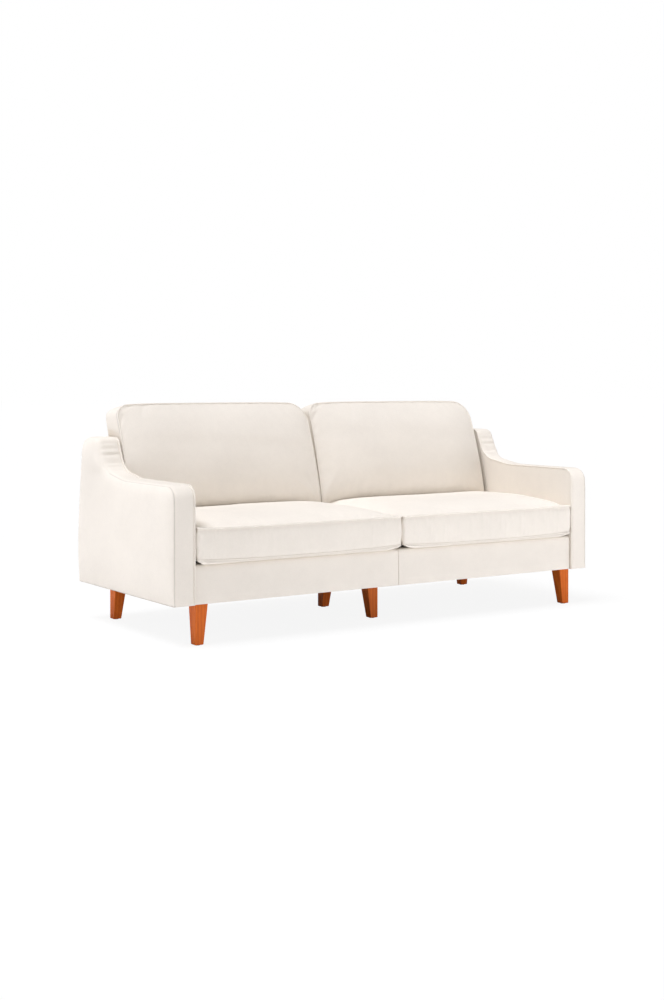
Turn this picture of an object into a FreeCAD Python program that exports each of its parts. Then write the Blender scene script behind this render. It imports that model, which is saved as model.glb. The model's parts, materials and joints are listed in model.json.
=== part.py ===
"""Two-seat sofa with scooped arms, loose boxed cushions and six tapered wooden legs.

The sofa faces -Y, +X is to the right seen from the front, and +Z is up. The origin is on the
floor, at the middle of the overall width and depth. All sizes are in millimetres and stand in one spreadsheet.
Places along Y are counted from the front plane of the arms, and FRONT turns them into the part's own frame.
"""

import FreeCAD
import Part
import math
import os
import Sketcher

Vector = FreeCAD.Vector
Rotation = FreeCAD.Rotation

OUTPUT_FOLDER = "parts"

SIZES = [
    # overall
    ("width", 2030, "overall width over both arms"),
    ("depth", 860, "front plane of the arms to the rearmost point"),
    ("cushion_nose", 16, "how far the seat cushions stand in front of the arms"),
    ("base_height", 151, "underside of the upholstered body above the floor"),
    ("fit", 0.3, "gap between neighbouring pieces"),
    ("overrun", 5, "how far a cutting tool passes a face"),
    # arms
    ("arm_width", 85, "arm, inner face to outer face"),
    ("arm_top", 592, "level front part of the arm above the floor"),
    ("crest_rise", 155, "rear crest of the arm above its level part"),
    ("crest_length", 170, "flat run of the rear crest, corner to corner"),
    ("scoop_run", 58, "foot of the scoop to the crest's front corner, along the depth"),
    ("scoop_foot_rise", 29, "foot of the scoop above the level part"),
    ("scoop_lead", 167, "gentle rise ahead of the scoop's foot"),
    ("rear_lean", 35, "how far the crest's rear corner stands in from the rearmost point"),
    ("rear_tuck", 9, "how far the bottom rear corner stands in from the rearmost point"),
    ("swell_low", 99, "lower end of the rear swell above the underside"),
    ("swell_high", 189, "upper end of the rear swell above the underside"),
    ("front_round", 52, "radius of the arm's front top corner"),
    ("lead_round", 400, "radius where the level part starts to rise"),
    ("scoop_round", 130, "radius of the scoop"),
    ("crest_round", 35, "radius at the crest's front corner"),
    ("rear_round", 70, "radius at the crest's rear corner"),
    ("swell_round", 300, "radius of the rear swell's corners"),
    ("outer_edge_round", 16, "softness of the arm's outer edge"),
    ("inner_edge_bevel", 4, "softness of the arm's inner edge"),
    ("cover_wall", 6, "padded cover of arms and back"),
    ("arm_board", 12, "plywood side board in the arm"),
    ("arm_post", 42, "depth of a post between the arm's boards"),
    ("arm_rail", 60, "height of a rail between the arm's boards"),
    ("arm_post_rear_inset", 50, "rear post from the crest's rear corner"),
    # legs
    ("leg_top", 52, "side of the leg at its top"),
    ("leg_foot", 34, "side of the leg at its foot"),
    ("leg_chamfer", 2, "bevel round the foot"),
    ("glide_radius", 11, "plastic glide under the foot"),
    ("glide_height", 2, "thickness of the glide"),
    ("leg_side_inset", 5, "outer face of a corner leg from the arm's inner face"),
    ("leg_front_inset", 12, "front face of a front leg from the arm's front"),
    ("leg_rear_inset", 2, "rear face of a rear leg from the seat box's rear"),
    ("middle_leg_front", 160, "front face of the front middle leg from the arm's front"),
    ("middle_leg_rear", 203, "rear face of the rear middle leg from the seat box's rear"),
    ("middle_leg_offset", 20, "outer face of a middle leg from the joists' joint"),
    ("bolt_inset", 40, "hanger bolt from the leg's two outer faces"),
    ("bolt_radius", 4, "all bolts"),
    ("bolt_depth", 38, "hanger bolt inside the leg"),
    ("nut_flange", 10, "radius of a tee nut's flange"),
    ("nut_barrel", 5.5, "radius of a tee nut's barrel"),
    ("nut_sheet", 1.6, "thickness of a tee nut's flange"),
    ("nut_length", 11, "length of a tee nut's barrel"),
    # seat box
    ("rail_setback", 11, "front of the seat box behind the arm's front"),
    ("rail_wall", 5, "padded cover on the front rail"),
    ("rail_flap", 45, "cover's flap over the top of the front rail"),
    ("rail_thick", 22, "thickness of the timber rails"),
    ("seat_level", 298, "height of the plane on which the seat cushions lie"),
    ("deck_thick", 4, "felt deck over the springs"),
    ("dust_sheet", 1, "cloth under the seat box"),
    ("back_base", 99, "depth of the back behind the seat box"),
    ("joist_width", 38, "width of each of the two centre joists"),
    ("joist_centre", 18, "joint between the joists, left of the sofa's middle"),
    ("joist_drop", 25, "top of the joists below the top of the rails"),
    ("joist_bolt_inset", 120, "outermost joist bolt from the rails"),
    ("block_side", 90, "side of a triangular corner block"),
    ("block_height", 45, "height of a corner block"),
    ("spring_wire", 4, "wire of the zigzag springs, corner to corner"),
    ("spring_width", 56, "width of a zigzag spring over its bends"),
    ("clip_sheet", 1.2, "sheet of a spring clip"),
    ("clip_length", 24, "spring clip along the rail"),
    ("clip_depth", 12, "spring clip across the rail"),
    ("hex_head", 6.5, "radius of a bolt's head"),
    ("hex_head_height", 5.3, "height of a bolt's head"),
    ("bolt_bite", 20, "how far a bolt holds in the last timber"),
    ("arm_bolt_height", 60, "arm bolt above the underside"),
    ("arm_bolt_inset", 130, "outer arm bolts from the seat box's ends"),
    # back
    ("back_foot", 200, "foot of the leaning front in front of the rearmost point"),
    ("back_head", 92, "head of the leaning front in front of the rearmost point"),
    ("back_drop", 2, "top of the back below the arm's crest"),
    ("back_front_round", 12, "radius at the back's front top edge"),
    ("back_rear_round", 34, "radius at the back's rear top edge"),
    ("rib_thick", 18, "thickness of a plywood rib in the back"),
    ("back_rail_height", 60, "height of the long rails let into the ribs"),
    ("webbing_thick", 1.5, "elastic webbing over the ribs"),
    ("webbing_width", 60, "width of a strap of webbing"),
    # seat cushions
    ("cushion_side_gap", 1, "cushion from the arm beside it"),
    ("cushion_rear_gap", 1, "cushion from the back behind it"),
    ("seat_seam_low", 317, "lower welt of the seat cushion above the floor"),
    ("seat_seam_high", 430, "upper welt of the seat cushion above the floor"),
    ("boxing_bulge", 6, "how far the boxing stands in front of its welts"),
    ("seat_corner_round", 30, "radius of the seat cushion's upright corners"),
    ("seat_shoulder", 100, "front welt to where the crown levels off"),
    ("seat_shoulder_rise", 25, "rise of the crown over that shoulder"),
    ("seat_crown_rise", 9, "further rise to the middle of the cushion"),
    ("seat_lip", 20, "front welt to where the underside is flat"),
    ("seat_corner_lift", 8, "how far the underside lifts at the ends"),
    ("seat_core_inset", 22, "foam core inside the seat cushion's faces"),
    # back cushions
    ("back_cushion_gap", 0.6, "back cushion above the crown of the seat cushion"),
    ("back_cushion_foot", 289, "front foot of the back cushion in front of the rearmost point"),
    ("back_cushion_head", 163, "front top welt in front of the rearmost point"),
    ("back_cushion_top", 880, "front top welt above the floor"),
    ("back_gusset_drop", 36, "rear top welt below the front one"),
    ("back_top_round", 60, "radius of the cushion's upper corners"),
    ("back_bottom_round", 22, "radius of the cushion's lower corners"),
    ("back_side_bow", 12, "forward bow of the cushion's side welts"),
    ("back_crown", 26, "further forward crown at the cushion's middle"),
    ("back_top_bow", 5, "upward bow of the top gusset"),
    ("back_core_inset", 26, "fibre core inside the back cushion's faces"),
]

SPRINGS_PER_SEAT = 3
SPRING_BENDS = 13
RIBS = 5
WEBBING_STRAPS = 4
ARM_BOLTS_PER_SIDE = 3
JOIST_BOLTS = 3
BACK_BOLTS = 4
WIRE_SIDES = 4
BEND_CHORDS = 4
# small round parts are drawn with this many flats, and hex heads with six
ROUND_FLATS = 8
HEX_FLATS = 6

# where the cushion's cross-sections stand, as shares of the corner radius and of half the width
CORNER_STATION_SHARES = (0.0, 0.1, 0.4, 1.0)
CROWN_STATION_SHARES = (0.3, 0.65, 1.0)
CROWN_FULLNESS_POWER = 6
# how far the slope beside a welt stands off its chord, as a share of its rise
SHOULDER_BULGE_SHARE = 0.25

# places in Y are counted from the front plane of the arms
FRONT = "(sizes.cushion_nose - sizes.depth) / 2"
INNER = "(sizes.width / 2 - sizes.arm_width)"
BOX_REAR = "(sizes.depth - sizes.rear_tuck - sizes.back_base)"
BOX_BASE = "(sizes.base_height + sizes.dust_sheet)"
DECK_TOP = "(sizes.seat_level - sizes.fit)"
DECK_BASE = "(sizes.seat_level - sizes.fit - sizes.deck_thick)"
CLIP_HEIGHT = "(2 * sizes.clip_sheet + sizes.spring_wire + 2 * sizes.fit)"
RAIL_TOP = f"({DECK_BASE} - sizes.fit - {CLIP_HEIGHT})"
RAIL_FRONT = "(sizes.rail_setback + sizes.rail_wall + sizes.fit)"
CREST = "(sizes.arm_top + sizes.crest_rise)"

doc = FreeCAD.newDocument("sofa")
sheet = doc.addObject("Spreadsheet::Sheet", "sizes")
nodes = []


def fill_sheet():
    """Write every driving size, its alias and its meaning into the spreadsheet."""
    for row, (alias, value, meaning) in enumerate(SIZES, start=1):
        sheet.set(f"A{row}", alias)
        sheet.set(f"B{row}", str(value))
        sheet.set(f"C{row}", meaning)
        sheet.setAlias(f"B{row}", alias)
    doc.recompute()


def size(expression):
    """Work out an expression of the spreadsheet's sizes as a number."""
    return float(sheet.evalExpression(expression))


def bind(target, **expressions):
    """Bind properties of an object to expressions; x, y and z stand for its place."""
    paths = {"x": "Placement.Base.x", "y": "Placement.Base.y", "z": "Placement.Base.z"}
    for name, expression in expressions.items():
        target.setExpression(paths.get(name, name), str(expression))
    return target


def node(shape_object, label):
    """Name an object as one of the sofa's pieces."""
    shape_object.Label = label
    nodes.append(shape_object)
    return shape_object


def box(name, x, y, z, length, width, height):
    """Make a box whose corner and sides are expressions; y is counted from the arm's front."""
    piece = doc.addObject("Part::Box", name)
    return bind(piece, x=x, y=f"{FRONT} + {y}", z=z, Length=length, Width=width, Height=height)


def rod(name, x, y, z, radius, length, direction=(0, 0, 1), flats=ROUND_FLATS):
    """Make a small round or hexagonal bar that starts at a point and runs along a direction."""
    piece = doc.addObject("Part::Prism", name)
    piece.Polygon = flats
    piece.Placement.Rotation = Rotation(Vector(0, 0, 1), Vector(*direction))
    return bind(piece, x=x, y=f"{FRONT} + {y}", z=z, Circumradius=radius, Height=length)


def group(name, pieces):
    """Gather separate solids into one object."""
    compound = doc.addObject("Part::Compound", name)
    compound.Links = pieces
    return compound


def fuse(name, pieces):
    """Join solids into one."""
    joined = doc.addObject("Part::MultiFuse", name)
    joined.Shapes = pieces
    return joined


def common(name, pieces):
    """Keep what solids share."""
    shared = doc.addObject("Part::MultiCommon", name)
    shared.Shapes = pieces
    return shared


def cut(name, base, tools):
    """Cut one or more tools out of a base."""
    result = doc.addObject("Part::Cut", name)
    result.Base = base
    result.Tool = tools[0] if len(tools) == 1 else fuse(f"{name}_tools", tools)
    return result


def extrude(name, profile, length, direction=(1, 0, 0)):
    """Extrude a closed profile into a solid."""
    solid = doc.addObject("Part::Extrusion", name)
    solid.Base = profile
    solid.DirMode = "Custom"
    solid.Dir = Vector(*direction)
    solid.Solid = True
    return bind(solid, LengthFwd=length)


def draw_outline(sketch, corners, rounds):
    """Draw a closed outline through corners, with some of them rounded, bound to the sizes.

    A corner is a pair of expressions. rounds maps a corner's number to the expression of its radius.
    """
    points = [Vector(size(across), size(up), 0) for across, up in corners]
    count = len(points)
    for i in range(count):
        sketch.addGeometry(Part.LineSegment(points[i], points[(i + 1) % count]))
    for i in range(count):
        sketch.addConstraint(Sketcher.Constraint("Coincident", i, 2, (i + 1) % count, 1))
    for i, pair in enumerate(corners):
        for kind, expression, value in zip(("DistanceX", "DistanceY"), pair, points[i]):
            number = sketch.addConstraint(Sketcher.Constraint(kind, -1, 1, i, 1, value))
            sketch.setExpression(f"Constraints[{number}]", expression)
    for i, radius in rounds.items():
        arc = sketch.GeometryCount
        sketch.fillet(i, 1, size(radius), True, True)
        number = sketch.addConstraint(Sketcher.Constraint("Radius", arc, size(radius)))
        sketch.setExpression(f"Constraints[{number}]", radius)
    return sketch


def origin_plane(body, role):
    """Find one of a body's origin planes."""
    return next(feature for feature in body.Origin.OriginFeatures if feature.Role == role)


def body_sketch(body, name, corners, rounds, role="XY_Plane", lift=None):
    """Attach a sketch to one of a body's origin planes and draw an outline in it."""
    sketch = body.newObject("Sketcher::SketchObject", name)
    sketch.AttachmentSupport = [(origin_plane(body, role), "")]
    sketch.MapMode = "FlatFace"
    if lift:
        sketch.setExpression("AttachmentOffset.Base.z", lift)
    return draw_outline(sketch, corners, rounds)


def side_profile(name, corners, rounds):
    """Draw a side view: depth from the arm's front runs across, height runs up."""
    sketch = doc.addObject("Sketcher::SketchObject", name)
    sketch.Placement.Rotation = Rotation(Vector(1, 1, 1), math.degrees(2 * math.pi / 3))
    return draw_outline(sketch, corners, rounds)


def inset(name, profile, distance):
    """Offset a profile inwards by an expression."""
    smaller = doc.addObject("Part::Offset2D", name)
    smaller.Source = profile
    smaller.Join = "Arc"
    return bind(smaller, Value=f"0 - ({distance})")


def square(near, far):
    """Corners of a square that runs from near to far on both axes."""
    return [(near, near), (far, near), (far, far), (near, far)]


def bulged(start, end, bulge):
    """Arc between two points of a side view that stands off its chord to the left by bulge."""
    chord = end - start
    outward = Vector(0, -chord.z, chord.y).normalize()
    return Part.Arc(start, (start + end) / 2 + outward * bulge, end).toShape()


# where each leg stands: outer corner, quarter turns, and the directions from that corner into the leg
LEGS = [
    ("leg_front_left", f"0 - {INNER} + sizes.leg_side_inset", "sizes.leg_front_inset", 0, 1, 1),
    ("leg_front_right", f"{INNER} - sizes.leg_side_inset", "sizes.leg_front_inset", 1, -1, 1),
    ("leg_rear_right", f"{INNER} - sizes.leg_side_inset", f"{BOX_REAR} - sizes.leg_rear_inset", 2, -1, -1),
    ("leg_rear_left", f"0 - {INNER} + sizes.leg_side_inset", f"{BOX_REAR} - sizes.leg_rear_inset", 3, 1, -1),
    ("leg_middle_front", "sizes.middle_leg_offset - sizes.joist_centre", "sizes.middle_leg_front", 1, -1, 1),
    ("leg_middle_rear", "0 - sizes.middle_leg_offset - sizes.joist_centre",
     f"{BOX_REAR} - sizes.middle_leg_rear", 3, 1, -1),
]
CORNER_LEGS = LEGS[:4]


def leg_axis(leg, inset_expression):
    """Place of an upright axis inside a leg, set in alike from its two outer faces."""
    _, x, y, _, into_x, into_y = leg
    return f"({x} + {into_x} * {inset_expression})", f"({y} + {into_y} * {inset_expression})"


LEG_HEIGHT = "(sizes.base_height - sizes.glide_height)"
LEG_OUTLINE = [
    ("sizes.leg_chamfer", "0"),
    ("sizes.leg_foot - sizes.leg_chamfer", "0"),
    ("sizes.leg_foot", "sizes.leg_chamfer"),
    ("sizes.leg_top", LEG_HEIGHT),
    ("0", LEG_HEIGHT),
    ("0", "sizes.leg_chamfer"),
]


def make_legs():
    """Six tapered legs, each what two crossed tapers share: two faces upright, two sloping."""
    outline = side_profile("leg_outline", LEG_OUTLINE, {})
    for leg in LEGS:
        name, x, y, turns, _, _ = leg
        along = extrude(f"{name}_along", outline, "sizes.leg_top")
        across = extrude(f"{name}_across", outline, "sizes.leg_top")
        across.Placement.Rotation = Rotation(Vector(0, 0, 1), math.degrees(-math.pi / 2))
        bind(across, y="sizes.leg_top")
        crossed = common(f"{name}_crossed", [along, across])
        crossed.Placement.Rotation = Rotation(Vector(0, 0, 1), math.degrees(turns * math.pi / 2))
        bind(crossed, x=x, y=f"{FRONT} + {y}", z="sizes.glide_height")
        bore = bolt_bores(
            name, [leg], "(sizes.base_height - sizes.bolt_depth - sizes.fit)",
            "(sizes.base_height + sizes.overrun)",
        )
        node(cut(f"{name}_bored", crossed, bore), name)


def make_glides():
    """Plastic glides under the six feet."""
    pieces = []
    for leg in LEGS:
        x, y = leg_axis(leg, "sizes.leg_foot / 2")
        pieces.append(rod(f"glide_under_{leg[0]}", x, y, "0", "sizes.glide_radius", "sizes.glide_height"))
    node(group("glides", pieces), "leg_glides")


def bolt_rod(leg, name, base, top, radius):
    """Upright rod on the axis of a leg's hanger bolt."""
    x, y = leg_axis(leg, "sizes.bolt_inset")
    return rod(name, x, y, base, radius, f"{top} - {base}")


def make_hanger_bolts():
    """Hanger bolts: from the leg into a tee nut on the corner block, or into a joist."""
    base = "(sizes.base_height - sizes.bolt_depth)"
    top = f"({BOX_BASE} + sizes.block_height + sizes.nut_sheet)"
    pieces = [bolt_rod(leg, f"hanger_bolt_{leg[0]}", base, top, "sizes.bolt_radius") for leg in LEGS]
    node(group("hanger_bolts", pieces), "leg_hanger_bolts")


def bolt_bores(owner, legs, base, top, radius="sizes.bolt_radius + sizes.fit"):
    """Tools that open a way for hanger bolts."""
    return [bolt_rod(leg, f"{owner}_bore_{leg[0]}", base, top, radius) for leg in legs]


def make_tee_nuts():
    """Tee nuts seated on top of the corner blocks."""
    block_top = f"({BOX_BASE} + sizes.block_height)"
    pieces = []
    for leg in CORNER_LEGS:
        name = leg[0]
        flange_top = f"({block_top} + sizes.nut_sheet)"
        flange = bolt_rod(leg, f"flange_{name}", block_top, flange_top, "sizes.nut_flange")
        barrel_base = f"({block_top} - sizes.nut_length)"
        barrel = bolt_rod(leg, f"barrel_{name}", barrel_base, block_top, "sizes.nut_barrel")
        bore = bolt_bores(
            f"nut_{name}", [leg], f"({block_top} - sizes.nut_length - sizes.overrun)",
            f"({block_top} + sizes.overrun)",
        )
        pieces.append(cut(f"tee_nut_{name}", fuse(f"nut_blank_{name}", [flange, barrel]), bore))
    node(group("tee_nuts", pieces), "leg_tee_nuts")


def make_corner_blocks():
    """Triangular blocks glued into the corners of the seat box, over the legs."""
    profile = doc.addObject("Sketcher::SketchObject", "block_outline")
    draw_outline(profile, [("0", "0"), ("sizes.block_side", "0"), ("0", "sizes.block_side")], {})
    across = f"({INNER} - sizes.fit - sizes.rail_thick)"
    near = f"({RAIL_FRONT} + sizes.rail_thick)"
    far = f"({BOX_REAR} - sizes.rail_thick)"
    corners = [(f"0 - {across}", near), (across, near), (across, far), (f"0 - {across}", far)]
    pieces = []
    for turns, (leg, (x, y)) in enumerate(zip(CORNER_LEGS, corners)):
        name = leg[0]
        prism = extrude(f"block_{name}", profile, "sizes.block_height", (0, 0, 1))
        prism.Placement.Rotation = Rotation(Vector(0, 0, 1), math.degrees(turns * math.pi / 2))
        bind(prism, x=x, y=f"{FRONT} + {y}", z=BOX_BASE)
        block_top = f"({BOX_BASE} + sizes.block_height)"
        tools = bolt_bores(
            f"block_{name}", [leg], f"({BOX_BASE} - sizes.overrun)", f"({block_top} + sizes.overrun)"
        )
        tools += bolt_bores(
            f"seat_{name}", [leg], f"({block_top} - sizes.nut_length - sizes.fit)",
            f"({block_top} + sizes.overrun)", "sizes.nut_barrel + sizes.fit",
        )
        pieces.append(cut(f"bored_block_{name}", prism, tools))
    node(group("corner_blocks", pieces), "corner_blocks")


def arm_bolt_tools(side, name, radius, start, length, flats=ROUND_FLATS):
    """Rods across the side of the seat box, where the arm's bolts go."""
    rods = []
    first = f"({RAIL_FRONT} + sizes.rail_thick + sizes.arm_bolt_inset)"
    span = f"({BOX_REAR} - sizes.rail_thick - sizes.arm_bolt_inset - {first})"
    for i in range(ARM_BOLTS_PER_SIDE):
        y = f"({first} + {span} * {i} / {ARM_BOLTS_PER_SIDE - 1})"
        height = f"({BOX_BASE} + sizes.arm_bolt_height)"
        x = f"{side} * {start}"
        rods.append(rod(f"{name}_{i + 1}", x, y, height, radius, length, (side, 0, 0), flats))
    return rods


def make_rails():
    """Timber rails of the seat box."""
    length = f"2 * ({INNER} - sizes.fit)"
    height = f"{RAIL_TOP} - {BOX_BASE}"
    start = f"0 - ({INNER} - sizes.fit)"
    front = box("front_rail", start, RAIL_FRONT, BOX_BASE, length, "sizes.rail_thick", height)
    node(front, "seat_front_rail")
    rear_y = f"({BOX_REAR} - sizes.rail_thick)"
    rear = box("rear_rail_blank", start, rear_y, BOX_BASE, length, "sizes.rail_thick", height)
    tools = back_bolt_bores("rear_rail_bore")
    node(cut("rear_rail", rear, tools), "seat_rear_rail")
    run = f"{BOX_REAR} - 2 * sizes.rail_thick - {RAIL_FRONT}"
    for side, word in ((-1, "left"), (1, "right")):
        x = start if side < 0 else f"{INNER} - sizes.fit - sizes.rail_thick"
        y = f"({RAIL_FRONT} + sizes.rail_thick)"
        blank = box(f"side_rail_blank_{word}", x, y, BOX_BASE, "sizes.rail_thick", run, height)
        tools = arm_bolt_tools(
            side, f"side_rail_bore_{word}", "sizes.bolt_radius + sizes.fit",
            f"({INNER} - sizes.rail_thick - sizes.overrun)", "sizes.rail_thick + 2 * sizes.overrun",
        )
        node(cut(f"side_rail_{word}", blank, tools), f"seat_side_rail_{word}")


def joist_bolt_rods(name, radius, start, length, flats=ROUND_FLATS):
    """Rods through both joists, where their bolts go."""
    first = f"({RAIL_FRONT} + sizes.rail_thick + sizes.joist_bolt_inset)"
    span = f"({BOX_REAR} - sizes.rail_thick - sizes.joist_bolt_inset - {first})"
    rods = []
    for i in range(JOIST_BOLTS):
        y = f"({first} + {span} * {i} / {JOIST_BOLTS - 1})"
        height = f"(({BOX_BASE} + {RAIL_TOP}) / 2)"
        rods.append(rod(f"{name}_{i + 1}", start, y, height, radius, length, (1, 0, 0), flats))
    return rods


def make_joists():
    """Two centre joists side by side, bolted together, that carry the middle legs."""
    y = f"({RAIL_FRONT} + sizes.rail_thick)"
    run = f"{BOX_REAR} - 2 * sizes.rail_thick - {RAIL_FRONT}"
    height = f"{RAIL_TOP} - sizes.joist_drop - {BOX_BASE}"
    left_face = "(0 - sizes.joist_centre - sizes.joist_width)"
    shank_start = f"({left_face} - sizes.hex_head_height)"
    shank = "(2 * sizes.joist_width + 2 * sizes.hex_head_height)"
    for word, x, leg in (("left", left_face, LEGS[4]), ("right", "0 - sizes.joist_centre", LEGS[5])):
        blank = box(f"joist_blank_{word}", x, y, BOX_BASE, "sizes.joist_width", run, height)
        tools = joist_bolt_rods(f"joist_bore_{word}", "sizes.bolt_radius + sizes.fit", shank_start, shank)
        tools += bolt_bores(
            f"joist_{word}", [leg], f"({BOX_BASE} - sizes.overrun)",
            f"({BOX_BASE} + sizes.block_height + sizes.nut_sheet + sizes.fit)",
        )
        node(cut(f"joist_{word}", blank, tools), f"centre_joist_{word}")
    head_size = "sizes.hex_head"
    head_height = "sizes.hex_head_height"
    head = joist_bolt_rods("joist_bolt_head", head_size, shank_start, head_height, HEX_FLATS)
    nut_start = "(sizes.joist_width - sizes.joist_centre)"
    nut = joist_bolt_rods("joist_bolt_nut", head_size, nut_start, head_height, HEX_FLATS)
    shanks = joist_bolt_rods("joist_bolt_shank", "sizes.bolt_radius", shank_start, shank)
    bolts = [fuse(f"joist_bolt_{i + 1}", list(trio)) for i, trio in enumerate(zip(head, shanks, nut))]
    node(group("joist_bolts", bolts), "joist_bolts")


def spring_place(side, number):
    """X place of a spring's middle: evenly spread between the side rail and the joists."""
    outer = f"({INNER} - sizes.fit - sizes.rail_thick)"
    shift = "+" if side < 0 else "-"
    inner = f"(sizes.joist_width {shift} sizes.joist_centre)"
    return f"({side} * ({inner} + ({outer} - {inner}) * {2 * number - 1} / {2 * SPRINGS_PER_SEAT}))"


SPRING_START = f"({RAIL_FRONT} + sizes.rail_thick / 2)"
SPRING_SPAN = f"({BOX_REAR} - sizes.rail_thick / 2 - {SPRING_START})"
SPRING_HEIGHT = f"({RAIL_TOP} + sizes.clip_sheet + sizes.fit + sizes.spring_wire / 2)"


def spring_shape(centre_x):
    """Zigzag spring: straight runs across the seat joined by half turns in chords, one unbroken wire."""
    wire_radius = size("sizes.spring_wire / 2")
    pitch = size(SPRING_SPAN) / SPRING_BENDS
    bend = pitch / 2
    half_width = size("sizes.spring_width / 2")
    half_run = half_width - bend
    y = size(f"{FRONT} + {SPRING_START}")
    z = size(SPRING_HEIGHT)
    points = [Vector(centre_x - half_width, y, z)]
    heading = 1
    for _ in range(SPRING_BENDS):
        middle = Vector(centre_x + heading * half_run, y + bend, z)
        for i in range(BEND_CHORDS + 1):
            angle = math.pi * i / BEND_CHORDS
            points.append(middle + Vector(heading * math.sin(angle), -math.cos(angle), 0) * bend)
        y += pitch
        heading = -heading
    points.append(Vector(centre_x + heading * half_width, y, z))
    corners = []
    for i in range(WIRE_SIDES + 1):
        angle = 2 * math.pi * i / WIRE_SIDES
        corners.append(points[0] + Vector(0, math.cos(angle), math.sin(angle)) * wire_radius)
    sharp_corners = 1
    return Part.makePolygon(points).makePipeShell([Part.makePolygon(corners)], True, False, sharp_corners)


def make_springs():
    """Zigzag springs from rail to rail, with a clip at each end."""
    clip = side_profile(
        "clip_outline",
        [
            ("0", "0"), ("sizes.clip_depth", "0"), ("sizes.clip_depth", "sizes.clip_sheet"),
            ("sizes.clip_sheet", "sizes.clip_sheet"),
            ("sizes.clip_sheet", f"{CLIP_HEIGHT} - sizes.clip_sheet"),
            ("sizes.clip_depth", f"{CLIP_HEIGHT} - sizes.clip_sheet"), ("sizes.clip_depth", CLIP_HEIGHT),
            ("0", CLIP_HEIGHT),
        ],
        {},
    )
    clips = []
    reach = "(sizes.clip_sheet + sizes.fit + sizes.spring_wire / 2)"
    for side, word in ((-1, "left"), (1, "right")):
        springs = []
        for number in range(1, SPRINGS_PER_SEAT + 1):
            x = spring_place(side, number)
            spring = doc.addObject("Part::Feature", f"spring_{word}_{number}")
            spring.Shape = spring_shape(size(x))
            springs.append(spring)
            for end, y, turn in (
                ("front", f"({SPRING_START} - {reach})", 0),
                ("rear", f"({SPRING_START} + {SPRING_SPAN} + {reach})", 2),
            ):
                hook = extrude(f"clip_{word}_{number}_{end}", clip, "sizes.clip_length")
                hook.Placement.Rotation = Rotation(Vector(0, 0, 1), math.degrees(turn * math.pi / 2))
                offset = "-" if turn == 0 else "+"
                bind(hook, x=f"{x} {offset} sizes.clip_length / 2", y=f"{FRONT} + {y}", z=RAIL_TOP)
                clips.append(hook)
        node(group(f"springs_{word}", springs), f"seat_springs_{word}")
    node(group("spring_clips", clips), "spring_clips")


def make_deck_and_cloths():
    """Felt deck over the springs and dust cloth under the seat box."""
    side = f"({INNER} - sizes.fit)"
    y = f"({RAIL_FRONT} + sizes.rail_flap + sizes.fit)"
    run = f"{BOX_REAR} - {y}"
    node(box("deck", f"0 - {side}", y, DECK_BASE, f"2 * {side}", run, "sizes.deck_thick"), "seat_deck")
    cloth = box("cloth_blank", f"0 - {side}", RAIL_FRONT, "sizes.base_height", f"2 * {side}",
                f"{BOX_REAR} - {RAIL_FRONT}", "sizes.dust_sheet")
    tools = bolt_bores(
        "cloth", LEGS, "(sizes.base_height - sizes.overrun)", f"({BOX_BASE} + sizes.overrun)"
    )
    node(cut("dust_cloth", cloth, tools), "dust_cover")
    profile = side_profile(
        "front_cover_outline",
        [
            ("sizes.rail_setback", "sizes.base_height"),
            ("sizes.rail_setback", DECK_TOP),
            (f"{RAIL_FRONT} + sizes.rail_flap", DECK_TOP),
            (f"{RAIL_FRONT} + sizes.rail_flap", DECK_BASE),
            ("sizes.rail_setback + sizes.rail_wall", DECK_BASE),
            ("sizes.rail_setback + sizes.rail_wall", "sizes.base_height"),
        ],
        {1: "sizes.deck_thick / 2"},
    )
    for word, x in (("left", f"0 - {side}"), ("right", "sizes.fit")):
        half = extrude(f"front_cover_{word}", profile, f"{side} - sizes.fit")
        node(bind(half, x=x, y=FRONT), f"front_rail_cover_{word}")


REAR_EDGE = [
    ("sizes.depth", "sizes.base_height + sizes.swell_high"),
    ("sizes.depth", "sizes.base_height + sizes.swell_low"),
    ("sizes.depth - sizes.rear_tuck", "sizes.base_height"),
]
CREST_HEAD = "(sizes.depth - sizes.rear_lean - sizes.crest_length)"
SCOOP_FOOT = f"({CREST_HEAD} - sizes.scoop_run)"
ARM_OUTLINE = [
    ("0", "sizes.base_height"),
    ("0", "sizes.arm_top"),
    (f"{SCOOP_FOOT} - sizes.scoop_lead", "sizes.arm_top"),
    (SCOOP_FOOT, "sizes.arm_top + sizes.scoop_foot_rise"),
    (CREST_HEAD, CREST),
    ("sizes.depth - sizes.rear_lean", CREST),
] + REAR_EDGE
ARM_ROUNDS = {
    1: "sizes.front_round", 2: "sizes.lead_round", 3: "sizes.scoop_round", 4: "sizes.crest_round",
    5: "sizes.rear_round", 6: "sizes.swell_round", 7: "sizes.swell_round",
}


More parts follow.
